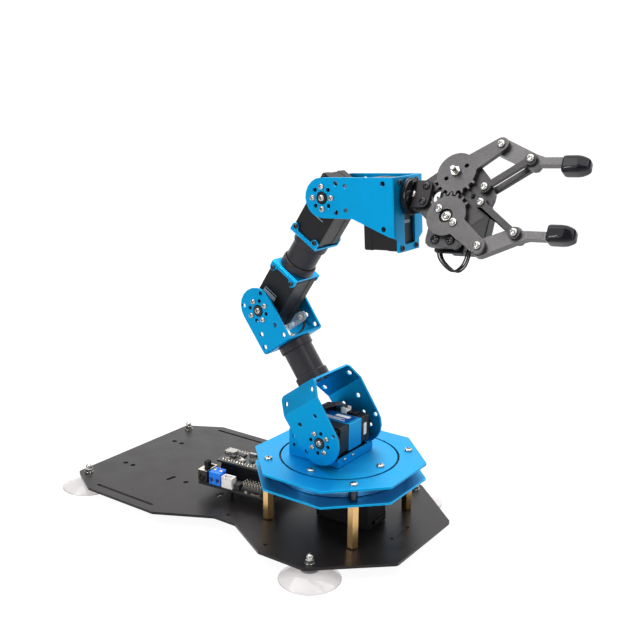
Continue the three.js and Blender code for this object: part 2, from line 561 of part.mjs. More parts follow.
add(wrist, 'hand_bracket', handBody, BLUE);
add(wrist, 'wrist_horn', horn(SERVO_Y + GAP, WY_Y - SHEET - GAP, 8.6), HORN_BLACK);
const ROLL_BACK = 27.2;
const rollCase = join(
  slabYZ(rounded([[-12.3, -33.4], [12.3, -33.4], [12.3, 11.8], [-12.3, 11.8]], 1.4, 2),
    ROLL_BACK, FRONT_X - SHEET - GAP),
  rod('x', 8.8, 48, FRONT_X + 0.6, [0, 0], 24));
add(wrist, 'roll_servo', rollCase, CASE_BLACK);

// ---------- hand turning about its own axis ----------
const hand = frame(wrist, 'hand_frame', 0, 0, 0);
hand.rotation.x = -HAND_ROLL * RAD;
const HORN_X = [FRONT_X + 0.9, 57.2];
add(hand, 'roll_horn', join(rod('x', 11.8, HORN_X[0], HORN_X[0] + 1.6, [0, 0], 32),
  rod('x', 11.2, HORN_X[0] + 1, HORN_X[1], [0, 0], 32)), HORN_BLACK);

// In the hand frame the outer side of the gripper faces -Y.
const face = (m) => -m;
const KNUCKLE_T = 2.3;
const knuckleOut = face(PALM_TOP + GAP + KNUCKLE_T);
const knuckleStrip = slab(rounded([[57.5, 8.6], [57.5, knuckleOut], [70.6, knuckleOut],
  [70.6, knuckleOut + KNUCKLE_T], [59.6, knuckleOut + KNUCKLE_T], [59.6, 8.6]],
[0, 3, 0, 0, 0.9, 0], 4), -10, 10);
const knuckleSide = slabXZ(rounded([[56, -9], [70.6, -9], [70.6, 9], [56, 9]], [0, 4.5, 4.5, 0],
  4), -20, 20, [[66.75, 5.1, 1.2], [66.75, -5.1, 1.2]]);
const knuckleFront = slabYZ(rounded([[-20, -9], [8.6, -9], [8.6, 9], [-20, 9]], [0, 4.5, 4.5, 0],
  4), 50, 80);
const knuckle = cut(common(common(knuckleStrip, knuckleSide), knuckleFront),
  rod('x', 2.4, 56, 60.6, [0, 0], 16));
add(hand, 'knuckle_bracket', knuckle, GUNMETAL);

const palmOutline = rounded([[60.4, -8.6], [63, -9.6], [71.4, -16.4], [73.6, -21.5], [73.6, -33],
  [97, -33], [98, -21.5], [101, -18.6], [109.6, -11.6], [112, -2], [112, 2], [106.4, 12],
  [100, 18.4], [96.4, 19.6], [92, 24], [80, 24], [71.4, 16.4], [63, 9.6], [60.4, 8.6]],
[1, 1, 2, 2, 4.5, 4.5, 2, 1.5, 4, 3, 3, 2, 1, 1, 5, 5, 2, 1, 1], 3);
const pivotPin = (x, z, m0, m1, r = 1.35) => rod('y', r, face(m1), face(m0), [x, z], 10);
const palm = join(
  slabXZ(palmOutline, face(PALM_TOP), face(PALM_TOP - PALM_T), [[66.75, 5.1, 1.2],
    [66.75, -5.1, 1.2], [75, 0, 4.4], [GEAR_X, -GEAR_Z, 6.2], [98.4, 0, 1.9],
    [80.1, -28.75, 1.3], [90.3, -28.75, 1.3]]),
  pivotPin(GEAR_X, GEAR_Z, 0, LEVER_TOP + 0.6, 1.9),
  pivotPin(LINK_X, LINK_Z, 0, PALM_TOP + GAP + LINK_T + 0.2),
  pivotPin(LINK_X, -LINK_Z, 0, PALM_TOP + GAP + LINK_T + 0.2));
add(hand, 'palm_plate', palm, GUNMETAL);

const GS_X = [74.2, 97.6];       // gripper servo case
const GS_Z = [-24.3, 8.4];
const GS_M = [-1.6, -35.5];
const gripCase = join(
  slabXZ(rounded([[GS_X[0], GS_Z[0]], [GS_X[1], GS_Z[0]], [GS_X[1], GS_Z[1] - 3],
    [GS_X[1] - 3, GS_Z[1]], [GS_X[0], GS_Z[1]]], 1.4, 2), face(GS_M[0]), face(GS_M[1])),
  slabXZ(rounded([[75.4, -32.6], [95, -32.6], [95, 12.6], [75.4, 12.6]], 1.4, 2), 8.4, 10.8,
    [[80.1, -28.75, 1.3], [90.3, -28.75, 1.3]]),
  rod('y', 5.6, face(1.6), face(-4), [GEAR_X, -GEAR_Z], 24),
  rod('y', 4.1, face(3.9), face(0), [GEAR_X, -GEAR_Z], 24));
add(hand, 'gripper_servo', gripCase, CASE_BLACK);
for (const [i, x] of [80.1, 90.3].entries()) {
  add(hand, `servo_spacer_${i + 1}`, turned([[1.5, 1.5], [2.8, 1.5], [2.8, 8.1], [1.5, 8.1],
    [1.5, 1.5]], 16).rotateX(-Math.PI / 2).translate(x, 0, -28.75), GUNMETAL);
}
add(hand, 'gripper_lead', leadTube([[77.8, 13, -24.9], [76.8, 13, -29.5], [79.4, 12.9, -35],
  [86, 12.9, -40.6], [90.6, 13.6, -42.2], [93.4, 15.4, -38.5], [93.8, 17.6, -33.5],
  [93.6, 19, -25]], 1.7), LEAD);

// ---------- gear levers, links and fingers ----------
// Lever outline: gear disc toothed over an arc, tapering arm to the finger pivot.
function leverGeometry(side) {
  const pts = [];
  const step = 360 / GEAR_TEETH;
  const first = 0.25;
  for (let k = 0; k < GEAR_TEETH; k++) {
    const mid = side > 0 ? -90 + (k + 0.5) * step : 90 + k * step;
    const off = ((mid + 90 * side + 540) % 360) - 180;
    const toothed = Math.abs(off) < 64;
    const prof = toothed ? [[-0.5, GEAR_ROOT_R], [-first, GEAR_ROOT_R], [-0.1, GEAR_TIP_R],
      [0.1, GEAR_TIP_R], [first, GEAR_ROOT_R]] : [[-0.5, GEAR_ROOT_R], [0, GEAR_ROOT_R]];
    for (const [f, r] of prof) {
      const t = (mid + f * step) * RAD;
      pts.push([r * Math.cos(t), r * Math.sin(t)]);
    }
  }
  const turn = LEVER_OPEN * side * RAD;
  const tip = [LEVER_LEN * Math.cos(turn), LEVER_LEN * Math.sin(turn)];
  const rootAt = [8 * Math.cos(turn), 8 * Math.sin(turn)];
  const y0 = face(LEVER_TOP);
  const y1 = face(LEVER_TOP - LEVER_T);
  const disc = slabXZ(pts, y0, y1);
  const bar = slabXZ(hullOfDiscs([[...rootAt, 6.2], [...tip, 4.6]], 20), y0, y1);
  const screws = [7.2, -7.2].map((d) => rod('y', side > 0 ? 1.5 : 1.1, y0 - 1, y1 + 1,
    [d * Math.cos(turn), d * Math.sin(turn)], 12));
  return cut(join(disc, bar), rod('y', side > 0 ? 2.2 : 4.6, y0 - 1, y1 + 1, [0, 0], 20),
    rod('y', 1.7, y0 - 1, y1 + 1, tip, 12), ...screws);
}
const levers = {};
for (const [name, side] of [['drive_lever', -1], ['idler_lever', 1]]) {
  levers[side] = frame(hand, `${name}_frame`, GEAR_X, 0, GEAR_Z * side);
  add(levers[side], name, leverGeometry(side), GUNMETAL);
}

const LINK_BOSS_R = 3.7;
const LINK_HALF = 2;
for (const [name, side] of [['lower', -1], ['upper', 1]]) {
  const link = frame(hand, `${name}_link_frame`, LINK_X, 0, LINK_Z * side);
  const turn = LEVER_OPEN * side * RAD;
  const far = [LEVER_LEN * Math.cos(turn), LEVER_LEN * Math.sin(turn)];
  const bar = (y0, y1) => join(
    slabXZ(hullOfDiscs([[0, 0, LINK_BOSS_R]], 14), y0, y1),
    slabXZ(hullOfDiscs([[...far, LINK_BOSS_R]], 14), y0, y1),
    slabXZ(hullOfDiscs([[0, 0, LINK_HALF], [...far, LINK_HALF]], 8), y0, y1));
  const f0 = face(PALM_TOP + GAP + LINK_T);
  const f1 = face(PALM_TOP + GAP);
  add(link, `${name}_link`, cut(bar(f0, f1), rod('y', 1.7, f0 - 1, f1 + 1, [0, 0], 8),
    rod('y', 1.7, f0 - 1, f1 + 1, far, 8)), GUNMETAL);
  const r0 = face(REAR_LINK_TOP);
  const r1 = r0 + LINK_T;
  const palmBack = face(PALM_TOP - PALM_T) + GAP;
  const fingerBack = face(PALM_TOP - FINGER_T) + GAP;
  add(link, `${name}_rear_link`, cut(join(bar(r0, r1),
    rod('y', 2.9, palmBack, r0 + 1, [0, 0], 12), rod('y', 2.9, fingerBack, r0 + 1, far, 12)),
  rod('y', 1.5, palmBack - 1, r1 + 1, [0, 0], 8),
  rod('y', 1.5, fingerBack - 1, r1 + 1, far, 8)), GUNMETAL);

  // Finger: heel on the lever, boss on the links, straight tip bar into a dipped cap.
  const turnF = [GEAR_X + LEVER_LEN * Math.cos(turn), (GEAR_Z + LEVER_LEN * Math.sin(turn * side))];
  const turnM = [LINK_X + LEVER_LEN * Math.cos(turn), (LINK_Z + LEVER_LEN * Math.sin(turn * side))];
  const finger = frame(levers[side], `${name}_finger_frame`, turnF[0] - GEAR_X, 0,
    side * (turnF[1] - GEAR_Z));
  const m = [turnM[0] - turnF[0], side * (turnM[1] - turnF[1])];
  const barZ = side * (TIP_BAR_Z - turnF[1]);
  const y0 = face(PALM_TOP);
  const y1 = y0 + FINGER_T;
  const fingerPlate = cut(join(
    slabXZ(hullOfDiscs([[0, 0, 5.1], [...m, 4.7]], 24), y0, y1),
    slabXZ(hullOfDiscs([[m[0], m[1] + side * 1.2, 3.4], [m[0] + 7.5, barZ, TIP_BAR_HALF]], 16),
      y0, y1),
    box(m[0] + 6, TIP_END_X - turnF[0], y0, y1, barZ - TIP_BAR_HALF, barZ + TIP_BAR_HALF)),
  rod('y', 1.5, y0 + 3, y1 + 1, m, 12));
  add(finger, `${name}_finger`, join(fingerPlate,
    pivotPin(0, 0, PALM_TOP - 1, LEVER_TOP + 0.2),
    pivotPin(...m, PALM_TOP - 1, PALM_TOP + GAP + LINK_T + 0.2)), GUNMETAL);
  const capX = CAP_X.map((x) => x - turnF[0]);
  const midY = (y0 + y1) / 2 + CAP_DROP;
  const capZ = side * (CAP_Z - turnF[1]);
  const capBody = slabXZ([[capX[0], capZ - CAP_HALF + 0.4], [capX[0] + 3, capZ - CAP_HALF],
    [capX[1] - 6, capZ - CAP_HALF], [capX[1] - 1.6, capZ - 2.4], [capX[1], capZ],
    [capX[1] - 1.6, capZ + 2.4], [capX[1] - 6, capZ + CAP_HALF],
    [capX[0] + 3, capZ + CAP_HALF], [capX[0], capZ + CAP_HALF - 0.4]],
  midY - CAP_DEEP, midY + CAP_DEEP);
  const trim = slab([[capX[0] - 1, midY - CAP_DEEP + 1], [capX[0] + 3, midY - CAP_DEEP],
    [capX[1] - 6, midY - CAP_DEEP], [capX[1] + 1, midY - 2], [capX[1] + 1, midY + 2],
    [capX[1] - 6, midY + CAP_DEEP], [capX[0] + 3, midY + CAP_DEEP],
    [capX[0] - 1, midY + CAP_DEEP - 1]], capZ - 8, capZ + 8);
  add(finger, `${name}_tip_cap`, cut(common(capBody, trim), box(capX[0] - 1,
    TIP_END_X + GAP - turnF[0], y0 - GAP, y1 + GAP, barZ - TIP_BAR_HALF - GAP,
    barZ + TIP_BAR_HALF + GAP)), TIP_RUBBER);
}

arm.position.z = -PLATE_BOTTOM;

export default arm;
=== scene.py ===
import json
import math
import random

import bmesh
import bpy
from mathutils import Matrix, Vector

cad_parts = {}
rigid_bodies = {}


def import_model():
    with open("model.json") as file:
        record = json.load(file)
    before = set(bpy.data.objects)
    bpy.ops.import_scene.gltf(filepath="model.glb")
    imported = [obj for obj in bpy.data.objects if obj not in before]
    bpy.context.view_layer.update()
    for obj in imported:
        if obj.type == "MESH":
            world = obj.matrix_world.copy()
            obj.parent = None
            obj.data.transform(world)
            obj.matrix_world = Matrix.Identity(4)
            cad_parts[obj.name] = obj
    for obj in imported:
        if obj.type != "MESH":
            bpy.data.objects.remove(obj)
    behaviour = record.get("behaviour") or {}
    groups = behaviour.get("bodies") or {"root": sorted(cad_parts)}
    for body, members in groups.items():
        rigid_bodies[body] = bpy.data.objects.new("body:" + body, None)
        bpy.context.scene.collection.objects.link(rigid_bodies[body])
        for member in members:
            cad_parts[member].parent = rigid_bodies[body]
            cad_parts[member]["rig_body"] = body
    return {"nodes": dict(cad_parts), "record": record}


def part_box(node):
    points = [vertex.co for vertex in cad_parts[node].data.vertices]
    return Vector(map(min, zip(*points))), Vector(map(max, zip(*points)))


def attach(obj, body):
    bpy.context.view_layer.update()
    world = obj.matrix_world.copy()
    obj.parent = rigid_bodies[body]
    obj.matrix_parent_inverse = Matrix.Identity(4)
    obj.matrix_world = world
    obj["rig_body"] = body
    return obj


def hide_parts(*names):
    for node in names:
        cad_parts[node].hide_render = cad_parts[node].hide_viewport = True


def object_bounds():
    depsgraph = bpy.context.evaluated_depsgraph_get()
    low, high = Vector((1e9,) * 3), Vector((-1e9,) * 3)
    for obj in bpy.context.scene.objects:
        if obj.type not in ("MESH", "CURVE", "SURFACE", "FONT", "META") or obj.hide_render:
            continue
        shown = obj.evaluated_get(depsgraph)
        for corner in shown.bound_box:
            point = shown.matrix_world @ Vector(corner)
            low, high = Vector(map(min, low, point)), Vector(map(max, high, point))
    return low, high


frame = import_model()
cad_box = [[float(c) for c in corner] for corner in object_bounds()]

MM = 0.001
JOINT = {j["name"]: j for j in frame["record"]["behaviour"]["joints"]}
Y, Z = Vector((0, 1, 0)), Vector((0, 0, 1))


# ---------- local frames (millimetres, as the solids were drawn) ----------
def basis(origin, x, y, z):
    m = Matrix((x, y, z)).transposed().to_4x4()
    m.translation = origin
    return m @ Matrix.Scale(MM, 4)


def pivot(name):
    return Vector(JOINT[name]["pos_m"])


def lean(origin, z):
    return basis(origin, Y.cross(z), Y, z)


shoulder, elbow, wrist = (pivot(n) for n in ("shoulder_pitch", "elbow_pitch", "wrist_pitch"))
upper_dir = (elbow - shoulder).normalized()
fore_dir = (wrist - elbow).normalized()
roll_dir = Vector(JOINT["wrist_roll"]["axis"]).normalized()
grip_y = Vector(JOINT["grip_drive"]["axis"]).normalized()
BASE = Matrix.Translation((0, 0, -MM)) @ Matrix.Scale(MM, 4)
UPPER = lean(shoulder, upper_dir)
ELBOW = lean(elbow, upper_dir)
FORE = lean(elbow, fore_dir)
WRIST_END = lean(wrist, fore_dir)
WRIST = basis(wrist, roll_dir, Y, roll_dir.cross(Y))
HAND = basis(wrist, roll_dir, grip_y, roll_dir.cross(grip_y))


# ---------- materials ----------
SLOTS = {
    "anodised_blue": "blue_anodised", "anodised_black": "black_anodised",
    "gunmetal": "gunmetal", "tube_grey": "tube_grey", "case_black": "case_black",
    "horn_black": "horn_black", "brass": "brass", "bright_steel": "steel",
    "bearing_steel": "steel", "dark_steel": "horn_black", "clear_pvc": "clear_pvc",
    "dipped_black": "tip_rubber", "board_black": "board", "chip_black": "case_black",
    "pin_metal": "steel", "connector_white": "strap", "terminal_blue": "block_blue",
    "lead_black": "lead", "clear_strap": "strap", "label_grey": "board",
    "gasket_grey": "lead", "switch_shell": "horn_black",
    "gunmetal_painted_lighter": "gunmetal", "gunmetal_painted_lightest": "gunmetal", "label_navy": "block_blue",
    "label_pale": "strap", "part_tan": "board",
}


def material(name, color, rough, metal=0.0, grain=0.0, grain_scale=900.0, bump=0.0,
             rough_spread=0.06, tint=0.03, stretch=(1, 1, 1), **extra):
    """Principled material whose colour, roughness and bump vary with a fine noise."""
    m = bpy.data.materials.new(name)
    m.use_nodes = True
    nt = m.node_tree
    bsdf = nt.nodes["Principled BSDF"]
    coord = nt.nodes.new("ShaderNodeTexCoord")
    mapping = nt.nodes.new("ShaderNodeMapping")
    mapping.inputs["Scale"].default_value = stretch
    nt.links.new(coord.outputs["Object"], mapping.inputs["Vector"])

    def noise(scale, detail):
        n = nt.nodes.new("ShaderNodeTexNoise")
        n.inputs["Scale"].default_value = scale
        n.inputs["Detail"].default_value = detail
        nt.links.new(mapping.outputs["Vector"], n.inputs["Vector"])
        return n

    fine = noise(grain_scale, 4)
    broad = noise(60, 3)
    ramp = nt.nodes.new("ShaderNodeValToRGB")
    lo = [max(0, c * (1 - tint - grain)) for c in color]
    hi = [min(1, c * (1 + tint + grain)) for c in color]
    ramp.color_ramp.elements[0].position = 0.32
    ramp.color_ramp.elements[1].position = 0.68
    ramp.color_ramp.elements[0].color = (*lo, 1)
    ramp.color_ramp.elements[1].color = (*hi, 1)
    mix = nt.nodes.new("ShaderNodeMath")
    mix.operation = "MULTIPLY_ADD"
    mix.inputs[1].default_value = 0.6
    nt.links.new(fine.outputs["Fac"], mix.inputs[0])
    half = nt.nodes.new("ShaderNodeMath")
    half.operation = "MULTIPLY"
    half.inputs[1].default_value = 0.4
    nt.links.new(broad.outputs["Fac"], half.inputs[0])
    nt.links.new(half.outputs[0], mix.inputs[2])
    nt.links.new(mix.outputs[0], ramp.inputs["Fac"])
    nt.links.new(ramp.outputs["Color"], bsdf.inputs["Base Color"])
    span = nt.nodes.new("ShaderNodeMapRange")
    span.inputs["From Min"].default_value = 0.3
    span.inputs["From Max"].default_value = 0.7
    span.inputs["To Min"].default_value = max(0.02, rough - rough_spread)
    span.inputs["To Max"].default_value = min(1, rough + rough_spread)
    nt.links.new(broad.outputs["Fac"], span.inputs["Value"])
    nt.links.new(span.outputs["Result"], bsdf.inputs["Roughness"])
    bsdf.inputs["Metallic"].default_value = metal
    if bump:
        b = nt.nodes.new("ShaderNodeBump")
        b.inputs["Strength"].default_value = bump
        b.inputs["Distance"].default_value = 0.0002
        nt.links.new(fine.outputs["Fac"], b.inputs["Height"])
        nt.links.new(b.outputs["Normal"], bsdf.inputs["Normal"])
    for key, value in extra.items():
        bsdf.inputs[key.replace("_", " ")].default_value = value
    if name in SLOTS:
        m["slot"] = SLOTS[name]
    return m


BLUE = material("anodised_blue", (0.001, 0.290, 0.585), 0.48, 0.92, 0.06, 2600, 0.14,
                Specular_IOR_Level=0.35)
BLACK_ANO = material("anodised_black", (0.008, 0.0068, 0.0068), 0.34, 0.0, 0.10, 2200, 0.12,
                     Specular_IOR_Level=0.27, Specular_Tint=(1, 0.93, 0.94, 1))
# one gunmetal in three painted brightnesses: the darkest, on the palm, links and spacers, is
# painted shade; the lighter copies on the levers and the lightest on the fingers are painted light
GUN = material("gunmetal", (0.044, 0.042, 0.043), 0.36, 0.8, 0.35, 2400, 0.40)
LEVER = material("gunmetal_painted_lighter", (0.076, 0.073, 0.074), 0.36, 0.8, 0.35, 2400, 0.40)
FINGER = material("gunmetal_painted_lightest", (0.098, 0.094, 0.096), 0.36, 0.8, 0.30, 2400, 0.35)
# painted edge highlights: each finish has a lighter copy for the rounded bevel faces of a sheet,
# painting the shine of light along its edges
EDGE_HIGHLIGHT = {
    BLUE: material("anodised_blue_painted_edge_highlight", (0.03, 0.46, 0.82), 0.34, 0.92, 0.10, 1800, 0.10),
    BLACK_ANO: material("anodised_black_painted_edge_highlight", (0.020, 0.018, 0.018), 0.26, 0.2, 0.15, 1800, 0.10),
    GUN: material("gunmetal_painted_edge_highlight", (0.110, 0.106, 0.108), 0.26, 0.85, 0.35, 2000, 0.25),
    LEVER: material("gunmetal_painted_lighter_edge_highlight", (0.170, 0.163, 0.166), 0.26, 0.85, 0.35, 2000, 0.25),
    FINGER: material("gunmetal_painted_lightest_edge_highlight", (0.200, 0.192, 0.196), 0.26, 0.85, 0.30, 2000, 0.25),
}
NAVY = material("label_navy", (0.003, 0.05, 0.20), 0.22, 0.0, 0.05, 900, 0.05)
TUBE = material("tube_grey", (0.024, 0.023, 0.027), 0.38, 0.4, 0.08, 2000, 0.12,
                Specular_IOR_Level=0.35)
CASE = material("case_black", (0.0050, 0.0050, 0.0062), 0.40, 0.0, 0.10, 3000, 0.35,
                Specular_IOR_Level=0.24)
HORN = material("horn_black", (0.006, 0.006, 0.008), 0.16, 0.0, 0.05, 1800, 0.06,
                Specular_IOR_Level=0.34)
BRASS = material("brass", (0.68, 0.44, 0.19), 0.26, 1.0, 0.06, 1200, 0.12, stretch=(1, 1, 0.08))
STEEL = material("bright_steel", (0.46, 0.45, 0.43), 0.20, 1.0, 0.08, 1500, 0.05)
# the bluish tint of this steel is a painted reflection of the blue plates around the drum; the
# stretched noise is turned grain
DRUM = material("bearing_steel", (0.42, 0.52, 0.62), 0.26, 1.0, 0.05, 900, 0.08,
                stretch=(1, 1, 12))
DARK_STEEL = material("dark_steel", (0.05, 0.05, 0.055), 0.3, 0.9, 0.08, 1500, 0.1)
CUP = material("clear_pvc", (0.76, 0.73, 0.73), 0.08, 0.0, 0.01, 300, 0.05,
               Transmission_Weight=0.82, IOR=1.45)
TIP = material("dipped_black", (0.003, 0.003, 0.006), 0.06, 0.0, 0.05, 500, 0.0,
               rough_spread=0.02, Specular_IOR_Level=0.24)
PCB = material("board_black", (0.014, 0.016, 0.015), 0.35, 0.0, 0.3, 700, 0.25)
CHIP = material("chip_black", (0.014, 0.014, 0.015), 0.5, 0.0, 0.1, 2500, 0.2)
PIN = material("pin_metal", (0.74, 0.69, 0.61), 0.22, 1.0, 0.10, 900, 0.05)
WHITE = material("connector_white", (0.80, 0.77, 0.75), 0.38, 0.0, 0.02, 900, 0.08,
                 Subsurface_Weight=0.08)
BLOCK = material("terminal_blue", (0.004, 0.18, 0.80), 0.33, 0.0, 0.05, 1200, 0.1)
LEAD = material("lead_black", (0.009, 0.009, 0.010), 0.36, 0.0, 0.08, 1500, 0.1)
STRAP = material("clear_strap", (0.80, 0.86, 0.90), 0.18, 0.0, 0.03, 500, 0.1,
                 Transmission_Weight=0.6)
LABEL = material("label_grey", (0.26, 0.30, 0.34), 0.35, 0.0, 0.05, 1800, 0.03)
PALE_LABEL = material("label_pale", (0.62, 0.62, 0.60), 0.4, 0.0, 0.04, 1800, 0.03)
TAN = material("part_tan", (0.20, 0.15, 0.10), 0.45, 0.0, 0.6, 600, 0.05, tint=0.3)
GASKET = material("gasket_grey", (0.20, 0.20, 0.21), 0.5, 0.0, 0.05, 900, 0.1)
SHELL = material("switch_shell", (0.085, 0.075, 0.065), 0.34, 0.85, 0.15, 1500, 0.1)


# ---------- mesh helpers ----------
def finish_mesh(bm, name, mat, body, place=None, smooth=32, nodes=()):
    """Turns a bmesh in millimetres of a local frame into a placed, riding piece."""
    if place is not None:
        bm.transform(place)
    bmesh.ops.recalc_face_normals(bm, faces=bm.faces)
    for f in bm.faces:
        f.smooth = True
    limit = math.radians(smooth)
    for e in bm.edges:
        e.smooth = len(e.link_faces) == 2 and e.calc_face_angle(0) < limit
    me = bpy.data.meshes.new(name)
    bm.to_mesh(me)
    bm.free()
    me.materials.append(mat)
    obj = bpy.data.objects.new(name, me)
    bpy.context.scene.collection.objects.link(obj)
    even = obj.modifiers.new("even", "WEIGHTED_NORMAL")
    even.keep_sharp = True
    even.weight = 80
    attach(obj, body)
    if nodes:
        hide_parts(*nodes)
    return obj


def bevel_edges(bm, width, angle=28, seg=2, slot=-1):
    edges = [e for e in bm.edges
             if len(e.link_faces) == 2 and e.calc_face_angle(0) > math.radians(angle)]
    if edges:
        bmesh.ops.bevel(bm, geom=edges, offset=width, offset_type="OFFSET", segments=seg,
                        profile=0.5, affect="EDGES", clamp_overlap=True, material=slot)


def refine(node, mat, width=0.25, seg=2, smooth=32):
    """Detailed copy of a solid: merged faces, rounded edges, smooth curved surfaces."""
    src = frame["nodes"][node]
    bm = bmesh.new()
    bm.from_mesh(src.data)
    bmesh.ops.remove_doubles(bm, verts=bm.verts, dist=2e-6)
    bmesh.ops.dissolve_limit(bm, angle_limit=math.radians(0.6), verts=bm.verts,
                             edges=bm.edges)
    if width:
        # bevel faces take slot 1, the lighter copy that paints the edge highlight
        bevel_edges(bm, width * MM, seg=seg, slot=1 if mat in EDGE_HIGHLIGHT else -1)
    obj = finish_mesh(bm, node + "_fine", mat, src["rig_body"], smooth=smooth, nodes=[node])
    # second slot holds the painted edge highlight material
    if mat in EDGE_HIGHLIGHT:
        obj.data.materials.append(EDGE_HIGHLIGHT[mat])
    return obj


def rounded_box(bm, lo, hi, r=0.4, seg=2):
    res = bmesh.ops.create_cube(bm, size=1)
    size = Vector(hi) - Vector(lo)
    mid = (Vector(hi) + Vector(lo)) / 2
    bmesh.ops.scale(bm, vec=size, verts=res["verts"])
    bmesh.ops.translate(bm, vec=mid, verts=res["verts"])
    if r:
        edges = list({e for v in res["verts"] for e in v.link_edges})
        bmesh.ops.bevel(bm, geom=edges, offset=min(r, min(size) * 0.45), segments=seg,
                        profile=0.5, affect="EDGES", clamp_overlap=True)


def lathe(bm, profile, seg=48, turn=None):
    """Turns a profile of (radius, height) about Z; ends on the axis close by themselves."""
    rings = []
    for r, h in profile:
        if r < 1e-6:
            rings.append([bm.verts.new((0, 0, h))])
        else:
            rings.append([bm.verts.new((r * math.cos(2 * math.pi * i / seg),
                                        r * math.sin(2 * math.pi * i / seg), h))
                          for i in range(seg)])
    pairs = list(zip(rings, rings[1:]))
    if len(rings[0]) > 1 and len(rings[-1]) > 1:
        pairs.append((rings[-1], rings[0]))
    for a, b in pairs:
        for i in range(seg):
            j = (i + 1) % seg
            quad = [a[i % len(a)], a[j % len(a)], b[j % len(b)], b[i % len(b)]]
            face = []
            for v in quad:
                if v not in face:
                    face.append(v)
            if len(face) > 2:
                bm.faces.new(face)
    if turn is not None:
        verts = [v for ring in rings for v in ring]
        bmesh.ops.transform(bm, matrix=turn, verts=verts)


def smooth_path(points, steps=6):
    """Catmull-Rom points through the given ones."""
    pts = [Vector(p) for p in points]
    ext = [pts[0] * 2 - pts[1]] + pts + [pts[-1] * 2 - pts[-2]]
    out = []
    for i in range(1, len(ext) - 2):
        p0, p1, p2, p3 = ext[i - 1:i + 3]
        for k in range(steps):
            t = k / steps
            out.append(0.5 * ((2 * p1) + (p2 - p0) * t + (2 * p0 - 5 * p1 + 4 * p2 - p3) * t * t
                              + (3 * p1 - p0 - 3 * p2 + p3) * t ** 3))
    out.append(pts[-1])
    return out


def tube(bm, points, r, seg=10, steps=6):
    """Round strand through the points, closed at both ends."""
    path = smooth_path(points, steps)
    up = Vector((0.3, 0.9, 0.2)).normalized()
    rings = []
    for i, p in enumerate(path):
        a = path[max(0, i - 1)]
        b = path[min(len(path) - 1, i + 1)]
        t = (b - a).normalized()
        side = t.cross(up).normalized()
        up = side.cross(t).normalized()
        rings.append([bm.verts.new(p + side * (r * math.cos(2 * math.pi * k / seg))
                                   + up * (r * math.sin(2 * math.pi * k / seg)))
                      for k in range(seg)])
    for a, b in zip(rings, rings[1:]):
        for k in range(seg):
            bm.faces.new([a[k], a[(k + 1) % seg], b[(k + 1) % seg], b[k]])
    bm.faces.new(list(reversed(rings[0])))
    bm.faces.new(rings[-1])


def placed(bm, matrix, build):
    """Runs build on a mesh, then moves only the vertices that it added."""
    n = len(bm.verts)
    build()
    bm.verts.ensure_lookup_table()
    bmesh.ops.transform(bm, matrix=matrix, verts=bm.verts[n:])


def piece(name, mat, body, place, build, smooth=32, nodes=()):
    """A riding piece from a function that fills a mesh in millimetres of a local frame."""
    bm = bmesh.new()
    build(bm)
    return finish_mesh(bm, name, mat, body, place, smooth, nodes)


# ---------- screws and nuts ----------
def pan_head_mesh():
    """Pan head of radius 1 standing on z = 0, with a cross recess."""
    head = bpy.data.meshes.new("pan_head")
    bm = bmesh.new()
    lathe(bm, [(0, -0.1), (0.93, -0.1), (1, 0), (1, 0.22), (0.95, 0.38), (0.82, 0.5),
               (0.6, 0.58), (0.3, 0.62), (0, 0.63)], 28)
    bmesh.ops.recalc_face_normals(bm, faces=bm.faces)
    bm.to_mesh(head)
    bm.free()
    tool = bpy.data.meshes.new("cross")
    bm = bmesh.new()
    for a in (0, math.pi / 2):
        n = len(bm.verts)
        rounded_box(bm, (-0.60, -0.16, 0.12), (0.60, 0.16, 0.9), 0)
        bm.verts.ensure_lookup_table()
        bmesh.ops.rotate(bm, verts=bm.verts[n:], matrix=Matrix.Rotation(a, 3, "Z"))
    bmesh.ops.recalc_face_normals(bm, faces=bm.faces)
    bm.to_mesh(tool)
    bm.free()
    ho = bpy.data.objects.new("pan_head", head)
    to = bpy.data.objects.new("cross", tool)
    for o in (ho, to):
        bpy.context.scene.collection.objects.link(o)
    mod = ho.modifiers.new("recess", "BOOLEAN")
    mod.operation = "DIFFERENCE"
    mod.object = to
    mod.solver = "EXACT"
    mod.use_self = True
    dg = bpy.context.evaluated_depsgraph_get()
    out = bpy.data.meshes.new_from_object(ho.evaluated_get(dg))
    for o in (ho, to):
        bpy.data.objects.remove(o)
    return out


PAN = pan_head_mesh()


def aim(pos, direction, scale=1.0, spin=0.0):
    d = Vector(direction).normalized()
    rot = Z.rotation_difference(d).to_matrix().to_4x4()
    return (Matrix.Translation(Vector(pos)) @ rot @ Matrix.Rotation(spin, 4, "Z")
            @ Matrix.Scale(scale, 4))


def screws(name, body, place, spots, mat=STEEL):
    """Pan heads, each (position, outward direction, head radius)."""
    def build(bm):
        for i, (pos, direction, r) in enumerate(spots):
            placed(bm, aim(pos, direction, r, 0.5 + 1.1 * i), lambda: bm.from_mesh(PAN))
    return piece(name, mat, body, place, build, 34)


def hex_nut(bm, pos, direction, across_flats, height, bolt_r, stud=1.1):
    """Nut with the end of its bolt standing out by stud."""
    def build():
        r = across_flats / math.sqrt(3)
        lathe(bm, [(0, 0), (r, 0), (r, height * 0.9), (r * 0.93, height), (0, height)], 6)
        top = height + stud
        lathe(bm, [(0, height), (bolt_r, height), (bolt_r, top - 0.4), (bolt_r * 0.8, top),
                   (0, top)], 16)
    placed(bm, aim(pos, direction), build)


EAR_R = 7.2            # ear screws' distance from the hinge


def ear_screws(name, body, place, half, r=1.95):
    """Four screws and a centre screw on both outer faces of a pair of bracket ears."""
    spots = []
    for s in (-1, 1):
        y = half * s
        spots += [((EAR_R * a, y, EAR_R * b), (0, s, 0), r)
                  for a, b in ((1, 0), (-1, 0), (0, 1), (0, -1))]
        spots.append(((0, y + 0.15 * s, 0), (0, s, 0), 2.2))
    return screws(name, body, place, spots)


